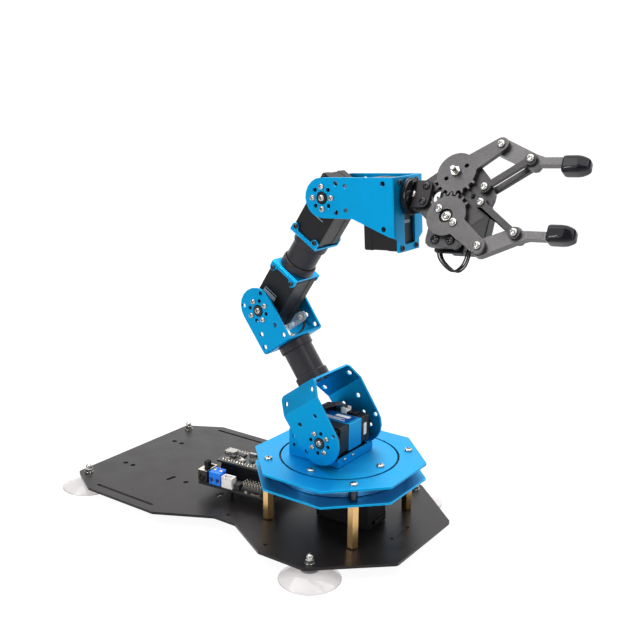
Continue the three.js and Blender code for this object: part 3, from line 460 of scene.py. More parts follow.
# ---------- carried-over solids with rounded edges ----------
for node in ("turntable_lower_plate", "turntable_ring_plate", "turntable_disc",
             "shoulder_cradle", "shoulder_servo_band", "shoulder_yoke", "elbow_yoke",
             "elbow_cap_bracket", "wrist_cap_bracket", "hand_bracket"):
    refine(node, BLUE, 0.34)
refine("base_plate", BLACK_ANO, 0.3)
refine("knuckle_bracket", BLACK_ANO, 0.3)
for node in ("palm_plate", "lower_link", "upper_link", "lower_rear_link",
             "upper_rear_link", "servo_spacer_1", "servo_spacer_2"):
    refine(node, GUN, 0.3)
# levers and fingers take the lighter gunmetal copies, painted light
for node in ("drive_lever", "idler_lever"):
    refine(node, LEVER, 0.3)
for node in ("lower_finger", "upper_finger"):
    refine(node, FINGER, 0.3)
for node in ("upper_tube", "forearm_tube"):
    for part in ("", "_lower_collar", "_upper_collar"):
        refine(node + part, TUBE, 0.2)
for node in ("shoulder_horn", "elbow_horn", "wrist_horn", "roll_horn"):
    refine(node, HORN, 0.25)
refine("bearing_drum", DRUM, 0.3)
refine("lead_strap", STRAP, 0.3)


# ---------- solids drawn afresh ----------
def rounded_rect(x0, y0, x1, y1, r, seg=4):
    pts = []
    for cx, cy, start in ((x1 - r, y0 + r, -90), (x1 - r, y1 - r, 0), (x0 + r, y1 - r, 90),
                          (x0 + r, y0 + r, 180)):
        for k in range(seg + 1):
            t = math.radians(start + 90 * k / seg)
            pts.append((cx + r * math.cos(t), cy + r * math.sin(t)))
    return pts


def blunt(points, r, seg=4):
    """Outline with each corner rounded over a length r of its sides."""
    out = []
    for i, p in enumerate(points):
        p = Vector(p)
        a = (Vector(points[i - 1]) - p).normalized() * r
        b = (Vector(points[(i + 1) % len(points)]) - p).normalized() * r
        for k in range(seg + 1):
            t = k / seg
            out.append(tuple(p + a * (1 - t) ** 2 + b * t ** 2))
    return out


def disc(x, y, r, seg=24):
    return [(x + r * math.cos(2 * math.pi * k / seg), y + r * math.sin(2 * math.pi * k / seg))
            for k in range(seg)]


def prism(bm, outline, axis, lo, hi, edge=0.0, seg=2):
    """Extrudes an outline, drawn in the two other axes, from lo to hi along an axis."""
    u, v, w = {"x": (1, 2, 0), "y": (0, 2, 1), "z": (0, 1, 2)}[axis]

    def vert(p, h):
        co = [0, 0, 0]
        co[u], co[v], co[w] = p[0], p[1], h
        return bm.verts.new(co)
    a = [vert(p, lo) for p in outline]
    b = [vert(p, hi) for p in outline]
    caps = [bm.faces.new(a), bm.faces.new(b)]
    for i in range(len(a)):
        j = (i + 1) % len(a)
        bm.faces.new((a[i], a[j], b[j], b[i]))
    if edge:
        rim = list({e for f in caps for e in f.edges})
        bmesh.ops.bevel(bm, geom=rim, offset=edge, offset_type="OFFSET", segments=seg,
                        profile=0.5, affect="EDGES", clamp_overlap=True)


def boxes(name, mat, body, place, cells, r=0.15, seg=2, smooth=32, nodes=()):
    """One piece made of rounded boxes, each ((low corner), (high corner))."""
    def build(bm):
        for lo, hi in cells:
            rounded_box(bm, lo, hi, r, seg)
    return piece(name, mat, body, place, build, smooth, nodes)


def prisms(name, mat, body, place, runs, smooth=32, nodes=()):
    """One piece made of prisms, each (outline, axis, low, high, edge radius)."""
    def build(bm):
        for outline, axis, lo, hi, edge in runs:
            prism(bm, outline, axis, lo, hi, edge)
    return piece(name, mat, body, place, build, smooth, nodes)


def leads(name, mat, body, place, routes, r=0.55, nodes=()):
    """One piece made of round strands, each along its own points."""
    def build(bm):
        for points in routes:
            tube(bm, points, r, 10, 8)
    return piece(name, mat, body, place, build, 60, nodes)


# ---------- feet, posts and the screws of the turntable ----------
PLATE_TOP = 3.0
RING_TOP = 48.1        # upper face of the ring plate and the disc
CUP_AT = []
for n in range(1, 5):
    lo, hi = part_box(f"suction_cup_{n}")
    CUP_AT.append(((lo.x + hi.x) / 2 / MM, (lo.y + hi.y) / 2 / MM))
CUP_SKIN = [(0, -4.5), (4, -4.7), (9, -5.5), (14, -7.0), (18, -8.7), (19.9, -9.5), (20.5, -9.5),
            (20.8, -9.2), (20.4, -8.8), (18.4, -7.5), (15.5, -5.9), (12, -4.5), (9, -3.6),
            (6.6, -3.0), (5.6, -2.5), (5.3, -1.9), (5.3, -0.3), (0, -0.3)]
for n, (cx, cy) in enumerate(CUP_AT, 1):
    at_cup = BASE @ Matrix.Translation((cx, cy, 1))
    piece(f"cup_skin_{n}", CUP, "base", at_cup, lambda bm: lathe(bm, CUP_SKIN, 96), 40,
          [f"suction_cup_{n}"])
    piece(f"cup_collar_{n}", GASKET, "base", at_cup,
          lambda bm: lathe(bm, [(3.2, -2.1), (5.9, -2.1), (6.1, -1.7), (5.9, -1.3), (3.2, -1.3)],
                           48), 40)

    def acorn(bm):
        lathe(bm, [(2.0, 0), (3.3, 0), (3.45, 0.25), (3.3, 0.5), (2.0, 0.5)], 40)
        lathe(bm, [(0, 0.5), (2.85, 0.5), (3.12, 0.75), (3.12, 2.5), (2.8, 2.8), (0, 2.8)], 6)
        lathe(bm, [(0, 2.7), (2.55, 2.7), (2.55, 3.6), (2.35, 4.6), (1.85, 5.4), (1.1, 6.0),
                   (0, 6.2)], 32)
    piece(f"acorn_nut_{n}", STEEL, "base", BASE @ Matrix.Translation((cx, cy, PLATE_TOP)), acorn)

POSTS = [(-35.5, -35.5), (35.5, -35.5), (35.5, 35.5), (-35.5, 35.5)]
for n, (px, py) in enumerate(POSTS, 1):
    at_post = BASE @ Matrix.Translation((px, py, 0))
    piece(f"brass_standoff_{n}", BRASS, "base", at_post,
          lambda bm: lathe(bm, [(0, 3.3), (3.6, 3.3), (4.04, 3.8), (4.04, 34.4), (3.6, 34.9),
                                (0, 34.9)], 6), 32, [f"brass_post_{n}"])
    piece(f"ring_spacer_{n}", DARK_STEEL, "base", at_post,
          lambda bm: lathe(bm, [(0, 37.2), (2.5, 37.2), (2.7, 37.5), (2.7, 45.8), (2.5, 46.1),
                                (0, 46.1)], 32))
UP, DOWN = (0, 0, 1), (0, 0, -1)
screws("ring_plate_screws", "base", BASE, [((x, y, RING_TOP), UP, 2.8) for x, y in POSTS])
screws("base_under_screws", "base", BASE, [((x, y, 1), DOWN, 2.8) for x, y in POSTS])
screws("disc_screws", "turntable", BASE,
       [((34 * a, 34 * b, RING_TOP), UP, 2.8) for a, b in ((1, 0), (-1, 0), (0, 1), (0, -1))])
screws("cradle_floor_screws", "turntable", BASE,
       [((x, y, 49.9), UP, 2.0) for x in (-16, 4) for y in (-18, 19.5)], DARK_STEEL)
screws("cradle_lip_screws", "turntable", BASE,
       [((13.4, y, 52.2), (1, 0, 0), 1.2) for y in (-13.1, -3.1)])

# ---------- turntable drive servo ----------
prisms("yaw_servo_case", CASE, "base", BASE, [
    (rounded_rect(-11.4, -12.3, 32.8, 12.3, 1.6), "z", 3.5, 10.2, 0.5),
    (rounded_rect(-11.1, -12.0, 32.5, 12.0, 1.6), "z", 10.0, 27.2, 0.2),
    (rounded_rect(-11.4, -12.3, 32.8, 12.3, 1.6), "z", 27.0, 34.9, 0.5),
    (disc(0, 0, 8, 40), "z", 34.5, 37.4, 0.4), (disc(0, 0, 3.2), "z", 36, 46.1, 0.3)],
    nodes=["yaw_servo"])
boxes("yaw_servo_socket", HORN, "base", BASE, [((32.4, -6, 6.2), (34.6, 6, 9.4))], 0.3)

# ---------- shoulder servo ----------
SH_LO, SH_HI = Vector((-24.2, -16.8, 55.8)), Vector((11.6, 20.5, 75.2))
SHAFT_X, SHAFT_Z = 2, 66


def sh_case(y0, y1, inset=0.0, edge=0.6, r=1.4):
    return (rounded_rect(SH_LO.x + inset, SH_LO.z + inset, SH_HI.x - inset, SH_HI.z - inset, r),
            "y", y0, y1, edge)


prisms("shoulder_servo_case", CASE, "turntable", BASE, [
    sh_case(-16.8, -12.6), sh_case(-12.7, -6.0, 0.25, 0.15), sh_case(-6.2, 10.3, 1.1, 0.1),
    sh_case(10.1, 15.6, 0.25, 0.15), sh_case(15.5, 20.5),
    (rounded_rect(-20, 50.1, 8, 57.6, 0.8), "y", -16.6, 20.3, 0.4),
    (disc(SHAFT_X, SHAFT_Z, 3), "y", -18.8, -16, 0.3),
    (disc(SHAFT_X, SHAFT_Z, 7.5, 40), "y", 20, 25.3, 0.5)], nodes=["shoulder_servo"])
screws("shoulder_servo_screws", "turntable", BASE,
       [((x, 20.5, z), (0, 1, 0), 1.2) for x in (-21.4, 8.8) for z in (58.6, 72.4)]
       + [((x, -16.8, z), (0, -1, 0), 1.2) for x in (-21.4, 8.8) for z in (58.6, 72.4)],
       DARK_STEEL)
boxes("shoulder_servo_label", PALE_LABEL, "turntable", BASE,
      [((11.45, 13.0, 61.6), (11.75, 16.5, 70.2))], 0.1)
prisms("shoulder_servo_ridge", CASE, "turntable", BASE,
       [(rounded_rect(-22.6, -14.5, -14.2, 18.4, 2.2), "z", 74.6, 78.2, 1.2),
        (rounded_rect(-3.5, 11.2, 5.6, 19.2, 1.0), "z", 74.8, 76.4, 0.4)])
boxes("shoulder_plug", WHITE, "turntable", BASE,
      [((-6.4, 10.6, 75.0), (-1.6, 11.8, 79.0)), ((-6.4, 15.6, 75.0), (-1.6, 16.8, 79.0)),
       ((-6.4, 10.6, 75.0), (-5.4, 16.8, 79.0)), ((-6.4, 11.6, 75.0), (-1.6, 15.8, 76.8))], 0.15)
boxes("shoulder_plug_pins", PIN, "turntable", BASE,
      [((-4.6, y, 76.4), (-3.9, y + 0.6, 78.4)) for y in (12.2, 13.4, 14.6)], 0.08)
leads("shoulder_leads", LEAD, "turntable", BASE,
      [[(-4.0, 12.6 + 1.1 * k, 77.4), (-4.2, 12.4 + 0.9 * k, 80.0),
        (-7.5 - k, 8.4 + 0.6 * k, 81.2 + 0.5 * k), (-13 - k, 1.0 + k, 80.2 + 0.4 * k),
        (-19 - 0.5 * k, -4.6 + 1.2 * k, 79.4), (-25.2, -5.6 + 1.7 * k, 77.4),
        (-26.0, -5.6 + 1.8 * k, 70), (-26.0, -5.2 + 1.7 * k, 62), (-26.0, -5 + 1.6 * k, 52)]
       for k in range(3)], 0.5)
band_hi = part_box("shoulder_servo_band")[1]
BAND_TOP = band_hi.z / MM + 1
boxes("servo_band_label", NAVY, "turntable", BASE,
      [((-20, -4.6, BAND_TOP - 0.1), (9.4, 8.6, BAND_TOP + 0.12))], 0.05)
boxes("servo_band_print", PALE_LABEL, "turntable", BASE,
      [((-16, y, BAND_TOP), (-16 + w, y + 0.7, BAND_TOP + 0.2))
       for y, w in ((-3.2, 22), (-1.6, 18), (0.0, 20))]
      + [((-6, 2.6, BAND_TOP), (5.5, 6.4, BAND_TOP + 0.2))], 0.04)

# ---------- bus servos of the elbow and the wrist ----------
def bus_servo(name, body, place, node, flip, boss):
    """Case in three layers, long end towards flip * Z, boss on the far side."""
    z0, z1 = sorted((-11.4 * flip, 33.8 * flip))

    def layer(y0, y1, inset, edge):
        return (rounded_rect(-11.8 + inset, z0 + inset, 11.8 - inset, z1 - inset, 1.6),
                "y", y0, y1, edge)
    prisms(name + "_case", CASE, body, place, [
        layer(-11.9, -5.4, 0, 0.6), layer(-5.6, 4.6, 0.3, 0.1), layer(4.4, 11.9, 0, 0.6),
        (disc(0, 0, 7.6, 40), "y", -12.1, -11, 0.1), (disc(0, 0, 3), "y", -13.9, -11, 0.2),
        (disc(0, 0, 7, 40), "y", 11, boss, 0.5)], nodes=[node])
    ends = [(x, z) for x in (-9.6, 9.6) for z in (z0 + 2.2, z1 - 2.2)]
    screws(name + "_case_screws", body, place,
           [((x, -11.9, z), (0, -1, 0), 1.15) for x, z in ends]
           + [((x, 11.9, z), (0, 1, 0), 1.15) for x, z in ends], DARK_STEEL)
    zs = 25 * flip
    boxes(name + "_sockets", HORN, body, place,
          [((-4.6, 11.6, zs - 3), (-0.8, 13.0, zs + 3)), ((0.8, 11.6, zs - 3), (4.6, 13, zs + 3))],
          0.2)


bus_servo("elbow_bus_servo", "forearm", FORE, "elbow_servo", 1, 16.9)
bus_servo("wrist_bus_servo", "forearm", WRIST_END, "wrist_servo", -1, 16.3)
boxes("elbow_servo_label", LABEL, "forearm", FORE,
      [((-8.2, -12.05, 10), (3.6, -11.8, 13)), ((-8.2, -12.0, 14.1), (3.6, -11.8, 14.5))], 0.08)
boxes("wrist_servo_label", LABEL, "forearm", WRIST_END,
      [((-5.8, -12.05, -16.3), (5.8, -11.8, -15.8))], 0.08)

prisms("roll_servo_case", CASE, "wrist", WRIST, [
    (rounded_rect(-12.3, -33.4, 12.3, 11.8, 1.5), "x", 27.2, 33.4, 0.6),
    (rounded_rect(-12.0, -33.1, 12.0, 11.5, 1.5), "x", 33.2, 44.2, 0.1),
    (rounded_rect(-12.3, -33.4, 12.3, 11.8, 1.5), "x", 44.0, 51.2, 0.6),
    (disc(0, 0, 8.8, 40), "x", 50, 53.8, 0.3)], nodes=["roll_servo"])
screws("roll_servo_screws", "wrist", WRIST,
       [((27.2, y, z), (-1, 0, 0), 1.15) for y in (-10, 10) for z in (-31, 9.4)], DARK_STEEL)
boxes("roll_servo_label", LABEL, "wrist", WRIST, [((51.1, -2.6, -16.6), (51.35, 4.4, -14.6))],
      0.08)
boxes("roll_servo_back_label", LABEL, "wrist", WRIST, [((27.0, -7, -20), (27.3, 7, -8))], 0.08)
boxes("roll_servo_sockets", HORN, "wrist", WRIST,
      [((x, 11.8, -27.5), (x + 3.8, 12.9, -21.5)) for x in (34.6, 39.4)], 0.2)

# ---------- screws of the brackets ----------
ear_screws("shoulder_ear_screws", "upper_arm", UPPER, 27.6)
ear_screws("elbow_ear_screws", "upper_arm", ELBOW, 19.2)
ear_screws("wrist_ear_screws", "wrist", WRIST, 18.6)
screws("yoke_flange_screws", "upper_arm", UPPER,
       [((x, y, 39.1), DOWN, 2.0) for x in (-7, 7) for y in (-4.5, 4.5)], DARK_STEEL)
screws("elbow_flange_screws", "upper_arm", ELBOW,
       [((x, y, -27.4), UP, 1.9) for x in (-6.6, 6.6) for y in (-6.6, 6.6)])
CAP_SPOTS = [(x, y) for x in (-9, 9) for y in (-13.8, 13.8)]
screws("elbow_cap_screws", "forearm", FORE,
       [((x, y, 31), (0, y, 0), 1.7) for x, y in CAP_SPOTS], DARK_STEEL)
screws("wrist_cap_screws", "forearm", WRIST_END,
       [((x, y, -31), (0, y, 0), 1.7) for x, y in CAP_SPOTS], DARK_STEEL)
screws("hand_bracket_screws", "wrist", WRIST,
       [((53.2, y, z), (1, 0, 0), 1.9) for y, z in ((-8.6, -31.6), (8.6, -31.6), (-10.4, 9.6),
                                                    (10.4, 9.6))], DARK_STEEL)
screws("strap_rivets", "upper_arm", ELBOW,
       [((5.3, 12.8, -14.8), (0, -1, 0), 1.9), ((-9.7, 12.8, -15.1), (0, -1, 0), 1.5)], WHITE)
ELBOW_ROUTE = [(3.6, 15.6, -8.4), (3.6, 15.6, -12), (3.5, 15.6, -16.4), (3.2, 15.2, -20.6),
               (1.8, 10, -24.2), (0.3, 2.8, -25.6), (0, 0, -29), (0, 0, -36)]
leads("elbow_lead_strands", LEAD, "upper_arm", ELBOW,
      [[(x + 0.6 * math.cos(t), y + 0.5 * math.sin(t), z) for x, y, z in ELBOW_ROUTE]
       for t in (0.4, 2.5, 4.6)], 0.55, ["elbow_lead"])
boxes("elbow_plug", WHITE, "upper_arm", ELBOW,
      [((-3.0, -1.6, -27.4), (2.6, 1.8, -24.5))], 0.25)
boxes("elbow_plug_pins", BRASS, "upper_arm", ELBOW,
      [((x, -0.3, -24.7), (x + 0.5, 0.3, -23.2)) for x in (-2.2, -0.9, 0.4, 1.6)], 0.06)

prisms("wrist_clear_strap", STRAP, "wrist", WRIST,
       [(rounded_rect(11.5, -11, 18.5, 9.5, 2.4), "y", 14.6, 15.8, 0.3)])
screws("wrist_strap_rivets", "wrist", WRIST,
       [((15, 14.6, z), (0, -1, 0), 1.6) for z in (-8.2, 6.7)], WHITE)

# ---------- gripper ----------
OUT = (0, -1, 0)
BACK = (0, 1, 0)
GEAR_X, GEAR_Z, LINK_X, LINK_Z, LEVER_LEN = 85.2, 14.3, 105.4, 4.95, 30.8
OPEN = math.radians(36.4)
REACH, RISE = LEVER_LEN * math.cos(OPEN), LEVER_LEN * math.sin(OPEN)


def m_at(x, m, z):
    """Point of the hand frame, m millimetres outside the hand axis."""
    return (x, -m, z)


HUB_SIDE = [(7.2 * s * math.cos(OPEN), 7.2 * s * math.sin(OPEN)) for s in (-1, 1)]
screws("drive_hub_screws", "drive_lever", HAND,
       [(m_at(GEAR_X + a, 5.1, -GEAR_Z - b), OUT, 2.7) for a, b in HUB_SIDE])
piece("drive_hub_washer", STEEL, "hand", HAND @ Matrix.Translation(m_at(GEAR_X, 3.9, -GEAR_Z))
      @ Matrix.Rotation(math.pi / 2, 4, "X"),
      lambda bm: lathe(bm, [(0, 0), (2.9, 0), (3.0, 0.3), (2.9, 0.7), (0, 0.7)], 40))
screws("drive_hub_centre", "hand", HAND, [(m_at(GEAR_X, 4.6, -GEAR_Z), OUT, 2.2)])


def idler_nut(bm):
    hex_nut(bm, m_at(GEAR_X, 5.1, GEAR_Z), OUT, 5.6, 2.2, 1.5, 4.2)


piece("idler_nut", STEEL, "idler_lever", HAND, idler_nut)
for name, s in (("lower", -1), ("upper", 1)):
    finger, link = name + "_finger", name + "_link"
    F = (GEAR_X + REACH, s * (GEAR_Z + RISE))
    M = (LINK_X + REACH, s * (LINK_Z + RISE))
    L = (LINK_X, s * LINK_Z)
    screws(f"{name}_finger_screw", finger, HAND, [(m_at(F[0], 5.2, F[1]), OUT, 2.5)])
    screws(f"{name}_boss_screw", finger, HAND, [(m_at(M[0], 4.8, M[1]), OUT, 2.5)])
    screws(f"{name}_palm_screw", "hand", HAND, [(m_at(L[0], 4.8, L[1]), OUT, 2.5)])

    def back_nuts(bm, spots=(L, M)):
        for x, z in spots:
            hex_nut(bm, m_at(x, -6.7, z), BACK, 5.4, 2.2, 1.4)
    piece(f"{name}_link_nuts", STEEL, link, HAND, back_nuts)
    piece(f"{name}_finger_nut", STEEL, finger, HAND,
          lambda bm: hex_nut(bm, m_at(F[0], -3.4, F[1]), BACK, 5.4, 2.2, 1.4))

screws("knuckle_screws", "hand", HAND, [(m_at(66.75, 4.4, z), OUT, 2.3) for z in (-5.1, 5.1)],
       DARK_STEEL)
screws("palm_tab_screws", "hand", HAND, [(m_at(x, 1.8, -28.75), OUT, 2.9) for x in (80.1, 90.3)],
       DARK_STEEL)
screws("roll_horn_centre", "hand", HAND, [((59.6, 0, 0), (1, 0, 0), 1.9),
                                          ((58.5, -3.5, 0), (-0.5, -0.87, 0), 2.3)])
screws("roll_horn_screws", "hand", HAND,
       [((57.2, 8.4 * math.cos(t), 8.4 * math.sin(t)), (1, 0, 0), 1.3)
        for t in (0.6, 2.2, 3.75, 5.3)], DARK_STEEL)


def grip_case(y0, y1, inset, edge):
    """Layer of the gripper servo's case, with its upper front corner cut off."""
    x0, x1, z0, z1 = 74.2 + inset, 97.6 - inset, -24.3 + inset, 8.4 - inset
    return (blunt([(x0, z0), (x1, z0), (x1, z1 - 3), (x1 - 3, z1), (x0, z1)], 1.3), "y", y0, y1,
            edge)


prisms("gripper_servo_case", CASE, "hand", HAND, [
    grip_case(1.6, 13.4, 0, 0.3), grip_case(13.2, 27.6, 0.3, 0.1), grip_case(27.4, 35.5, 0, 0.7),
    (disc(GEAR_X, -GEAR_Z, 5.6, 40), "y", -1.6, 4, 0.3),
    (disc(GEAR_X, -GEAR_Z, 4.1, 40), "y", -3.9, 0, 0.2)], nodes=["gripper_servo"])
prisms("gripper_servo_flange", CASE, "hand", HAND,
       [(rounded_rect(75.4, -32.6, 95, 12.6, 1.4), "y", 8.4, 10.8, 0.3)])
screws("gripper_servo_screws", "hand", HAND,
       [((x, 35.5, z), BACK, 1.2) for x, z in ((76.6, -21.9), (95.2, -21.9), (76.6, 6.0),
                                               (93.4, 4.4))]
       + [((x, 10.8, z), BACK, 2.4) for x in (80.1, 90.3) for z in (-28.75, 8.9)], DARK_STEEL)
LEAD_ROUTE = [(77.8, 13, -24.6), (76.8, 13, -29.5), (79.4, 12.9, -35), (86, 12.9, -40.6),
              (90.6, 13.6, -42.2), (93.4, 15.4, -38.5), (93.8, 17.6, -33.5), (93.6, 19, -24.6)]
leads("gripper_leads", LEAD, "hand", HAND,
      [[(x + dx * (1 - abs(i - 3.5) / 8), y + dy, z - 0.6 * abs(dx) * (0.5 if 1 < i < 6 else 0))
        for i, (x, y, z) in enumerate(LEAD_ROUTE)]
       for dx, dy in ((-1.7, -0.4), (-0.5, 0.8), (0.6, -0.6), (1.7, 0.3))], 0.52,
      ["gripper_lead"])


def tip_cap(name, side):
    """Dipped cap: a rounded sleeve over the finger bar, closing to a blunt nose.

    Its sections are superellipses, each at a distance along the hand and scaled by a factor.
    """
    sections = ((148.8, 0.84), (149.1, 0.93), (149.8, 0.98), (151, 1), (157.2, 1), (159.8, 0.94),
                (162.0, 0.81), (163.6, 0.68), (164.4, 0.54), (164.7, 0.36))
    half_y, half_z, power, around = 5.4, 5.3, 5, 64
    mid_y, mid_z = 1.9, side * 21.4

    def build(bm):
        rings = []
        for x, k in sections:
            ring = []
            for i in range(around):
                t = 2 * math.pi * i / around
                c, q = math.cos(t), math.sin(t)
                ring.append(bm.verts.new((
                    x, mid_y + k * half_y * math.copysign(abs(c) ** (2 / power), c),
                    mid_z + k * half_z * math.copysign(abs(q) ** (2 / power), q))))
            rings.append(ring)
        nose = bm.verts.new((164.8, mid_y, mid_z))
        for a, b in zip(rings, rings[1:]):
            for i in range(around):
                j = (i + 1) % around
                bm.faces.new((a[i], a[j], b[j], b[i]))
        for i in range(around):
            bm.faces.new((rings[-1][i], rings[-1][(i + 1) % around], nose))
        bm.faces.new(rings[0])
    piece(name + "_cap_skin", TIP, name + "_finger", HAND, build, 50, [name + "_tip_cap"])


tip_cap("lower", -1)
tip_cap("upper", 1)

# ---------- controller boards ----------
slide = JOINT["power_switch_slide"]["axis"]
BOARD_TURN = math.atan2(-slide[0], slide[1])
board_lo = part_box("controller_board")[0]
BOARD_DEPTH = 56 * MM
BOARD = (BASE @ Matrix.Translation(((board_lo.x + BOARD_DEPTH * math.sin(BOARD_TURN)) / MM,
                                    board_lo.y / MM, 0))
         @ Matrix.Rotation(BOARD_TURN, 4, "Z"))
LOWER, UPPER_FACE = 13.0, 26.5     # component faces of the two boards
PITCH = 2.54           # pins of a header
rng = random.Random(11)


def run(x0, x1):
    return [x0 + PITCH * k for k in range(int((x1 - x0) / PITCH + 1e-6) + 1)]


prisms("lower_board", PCB, "base", BOARD,
       [(rounded_rect(0, 0, 62, 56, 1.5), "z", 11.4, LOWER, 0.12)]
       + [(disc(x, y, 2.6, 6), "z", 3.3, 11.8, 0.2)
          for x, y in ((26, 6), (58, 6), (26, 52), (6, 46))],
       nodes=["controller_board"])
prisms("upper_board", PCB, "base", BOARD,
       [(rounded_rect(6.5, 14.8, 57, 38.7, 1.2), "z", 24.9, UPPER_FACE, 0.12)],
       nodes=["processor_board"])
for name, y in (("near", 16.5), ("far", 34.5)):
    boxes(f"header_{name}", CASE, "base", BOARD,
          [((9.5, y, 13.3), (50, y + 2.5, 21.8)), ((9.9, y + 0.15, 21.7), (49.6, y + 2.35, 24.6))],
          0.12, nodes=[f"stacking_header_{name}"])
boxes("header_joints", PIN, "base", BOARD,
      [((x - 0.3, y - 0.3, UPPER_FACE - 0.2), (x + 0.3, y + 0.3, UPPER_FACE + 1.3))
       for y in (17.75, 35.75) for x in run(11, 49)], 0.1)


def solder(bm):
    for y in (17.75, 35.75):
        for x in run(11, 49):
            lathe(bm, [(0, 0), (0.95, 0), (0.85, 0.25), (0.5, 0.7), (0.36, 1.0), (0, 1.0)], 10,
                  Matrix.Translation((x, y, UPPER_FACE - 0.02)))


piece("solder_cones", PIN, "base", BOARD, solder, 60)
boxes("data_socket", STEEL, "base", BOARD,
      [((6.6, 26.8, 26.6), (14.2, 33.8, 29.3)), ((6.2, 26.4, 26.8), (6.8, 34.2, 29.5))], 0.25)
boxes("data_socket_mouth", HORN, "base", BOARD, [((6.0, 27.5, 27.2), (6.7, 33.1, 28.9))], 0.1)


def chip_legs(bm, w, d, h, legs):
    """Rows of bent legs on both long sides of a chip of size w, d, h."""
    step = w * 0.86 / max(1, legs - 1)
    for k in range(legs):
        px = -w * 0.43 + step * k
        for s in (-1, 1):
            a, b = sorted((s * (d / 2 - 0.2), s * (d / 2 + 0.7)))
            rounded_box(bm, (px - 0.14, a, h * 0.42), (px + 0.14, b, h * 0.55), 0.04, 1)
            a, b = sorted((s * (d / 2 + 0.55), s * (d / 2 + 1.1)))
            rounded_box(bm, (px - 0.14, a, 0), (px + 0.14, b, h * 0.5), 0.04, 1)


# each chip: x, y, z, width, depth, height, legs on a side, turn
CHIPS = [(33, 27.2, UPPER_FACE, 7, 7, 1.2, 8, math.pi / 4), (20.5, 30, UPPER_FACE, 5, 4, 1.4, 4, 0),
         (44.5, 24.5, UPPER_FACE, 4.2, 3.6, 1.3, 3, 0), (42.5, 12.2, LOWER, 9, 4, 1.5, 7, 0),
         (54.5, 12.4, LOWER, 6, 4, 1.5, 4, 0), (14, 25.5, LOWER, 8, 6, 2.2, 4, 0)]


def chip_place(x, y, z, turn):
    return Matrix.Translation((x, y, z)) @ Matrix.Rotation(turn, 4, "Z")


def all_chips(bm):
    for x, y, z, w, d, h, _, turn in CHIPS:
        placed(bm, chip_place(x, y, z, turn),
               lambda: rounded_box(bm, (-w / 2, -d / 2, 0.15), (w / 2, d / 2, h), 0.15))
    rounded_box(bm, (31.6, 1.6, LOWER), (36.4, 7.8, LOWER + 4.6), 0.3)
    rounded_box(bm, (14.8, 21.2, UPPER_FACE), (18.6, 24.6, UPPER_FACE + 2.4), 0.25)


def all_legs(bm):
    for x, y, z, w, d, h, legs, turn in CHIPS:
        placed(bm, chip_place(x, y, z, turn), lambda: chip_legs(bm, w, d, h, legs))


piece("chip_bodies", CHIP, "base", BOARD, all_chips)
piece("chip_legs", PIN, "base", BOARD, all_legs)
prisms("reset_button", STEEL, "base", BOARD,
       [(rounded_rect(23.8, 19.6, 28, 23.2, 0.4), "z", UPPER_FACE, 28.0, 0.2),
        (rounded_rect(24.6, 32.2, 31.4, 34.4, 1.05), "z", UPPER_FACE, 29.4, 0.5)])
prisms("reset_cap", WHITE, "base", BOARD, [(disc(25.9, 21.4, 1.1), "z", 27.9, 28.7, 0.25)])
boxes("upper_pin_header", CHIP, "base", BOARD, [((47.8, 25.2, UPPER_FACE), (52.8, 32.8, 29.0))],
      0.2)
boxes("upper_pins", PIN, "base", BOARD,
      [((x - 0.32, y - 0.32, 26), (x + 0.32, y + 0.32, 33.2))
       for x in (49, 51.5) for y in (26.4, 28.95, 31.5)], 0.12)


def parts_between(x0, x1, y0, y1, z, count, low, high):
    """Small chip resistors and capacitors: bodies and their bright end caps."""
    body, caps = [], []
    for _ in range(count):
        x, y = rng.uniform(x0, x1), rng.uniform(y0, y1)
        w, d, h = rng.uniform(low, high), rng.uniform(0.6, 1.0), rng.uniform(0.4, 0.8)
        if rng.random() < 0.5:
            w, d = d, w
        body.append(((x, y, z - 0.05), (x + w, y + d, z + h)))
        e = 0.28 * max(w, d)
        if w > d:
            caps += [((x - 0.15, y - 0.05, z - 0.05), (x - 0.15 + e, y + d + 0.05, z + h + 0.05)),
                     ((x + w + 0.15 - e, y - 0.05, z - 0.05),
                      (x + w + 0.15, y + d + 0.05, z + h + 0.05))]
        else:
            caps += [((x - 0.05, y - 0.15, z - 0.05), (x + w + 0.05, y - 0.15 + e, z + h + 0.05)),
                     ((x - 0.05, y + d + 0.15 - e, z - 0.05),
                      (x + w + 0.05, y + d + 0.15, z + h + 0.05))]
    return body, caps


small, ends = [], []
# each group: x range, y range, board face, count, least and greatest length
for group in ((10, 24, 19.4, 20.6, UPPER_FACE, 7, 1.2, 1.8),
              (36, 47, 19.6, 22, UPPER_FACE, 10, 1.2, 1.9),
              (37.5, 46, 28.5, 33, UPPER_FACE, 8, 1.2, 1.9),
              (14.6, 23, 25.4, 26.6, UPPER_FACE, 4, 1.2, 1.6),
              (36.6, 60, 0.8, 1.6, LOWER, 12, 1.3, 2.0), (22, 40, 9.4, 13, LOWER, 9, 1.3, 2.2),
              (52, 60, 18, 50, LOWER, 12, 1.3, 2.2), (10, 50, 41, 52, LOWER, 16, 1.3, 2.4),
              (12, 20, 9.6, 14, LOWER, 5, 1.3, 2.0)):
    new_bodies, new_ends = parts_between(*group)
    small += new_bodies
    ends += new_ends
boxes("small_parts", TAN, "base", BOARD, small, 0.06, 1)
boxes("small_part_ends", PIN, "base", BOARD, ends, 0.06, 1)
prisms("can_capacitors", STEEL, "base", BOARD,
       [(disc(x, 46.5, 3.1, 32), "z", LOWER, 18.6, 0.4) for x in (47, 39.5)])

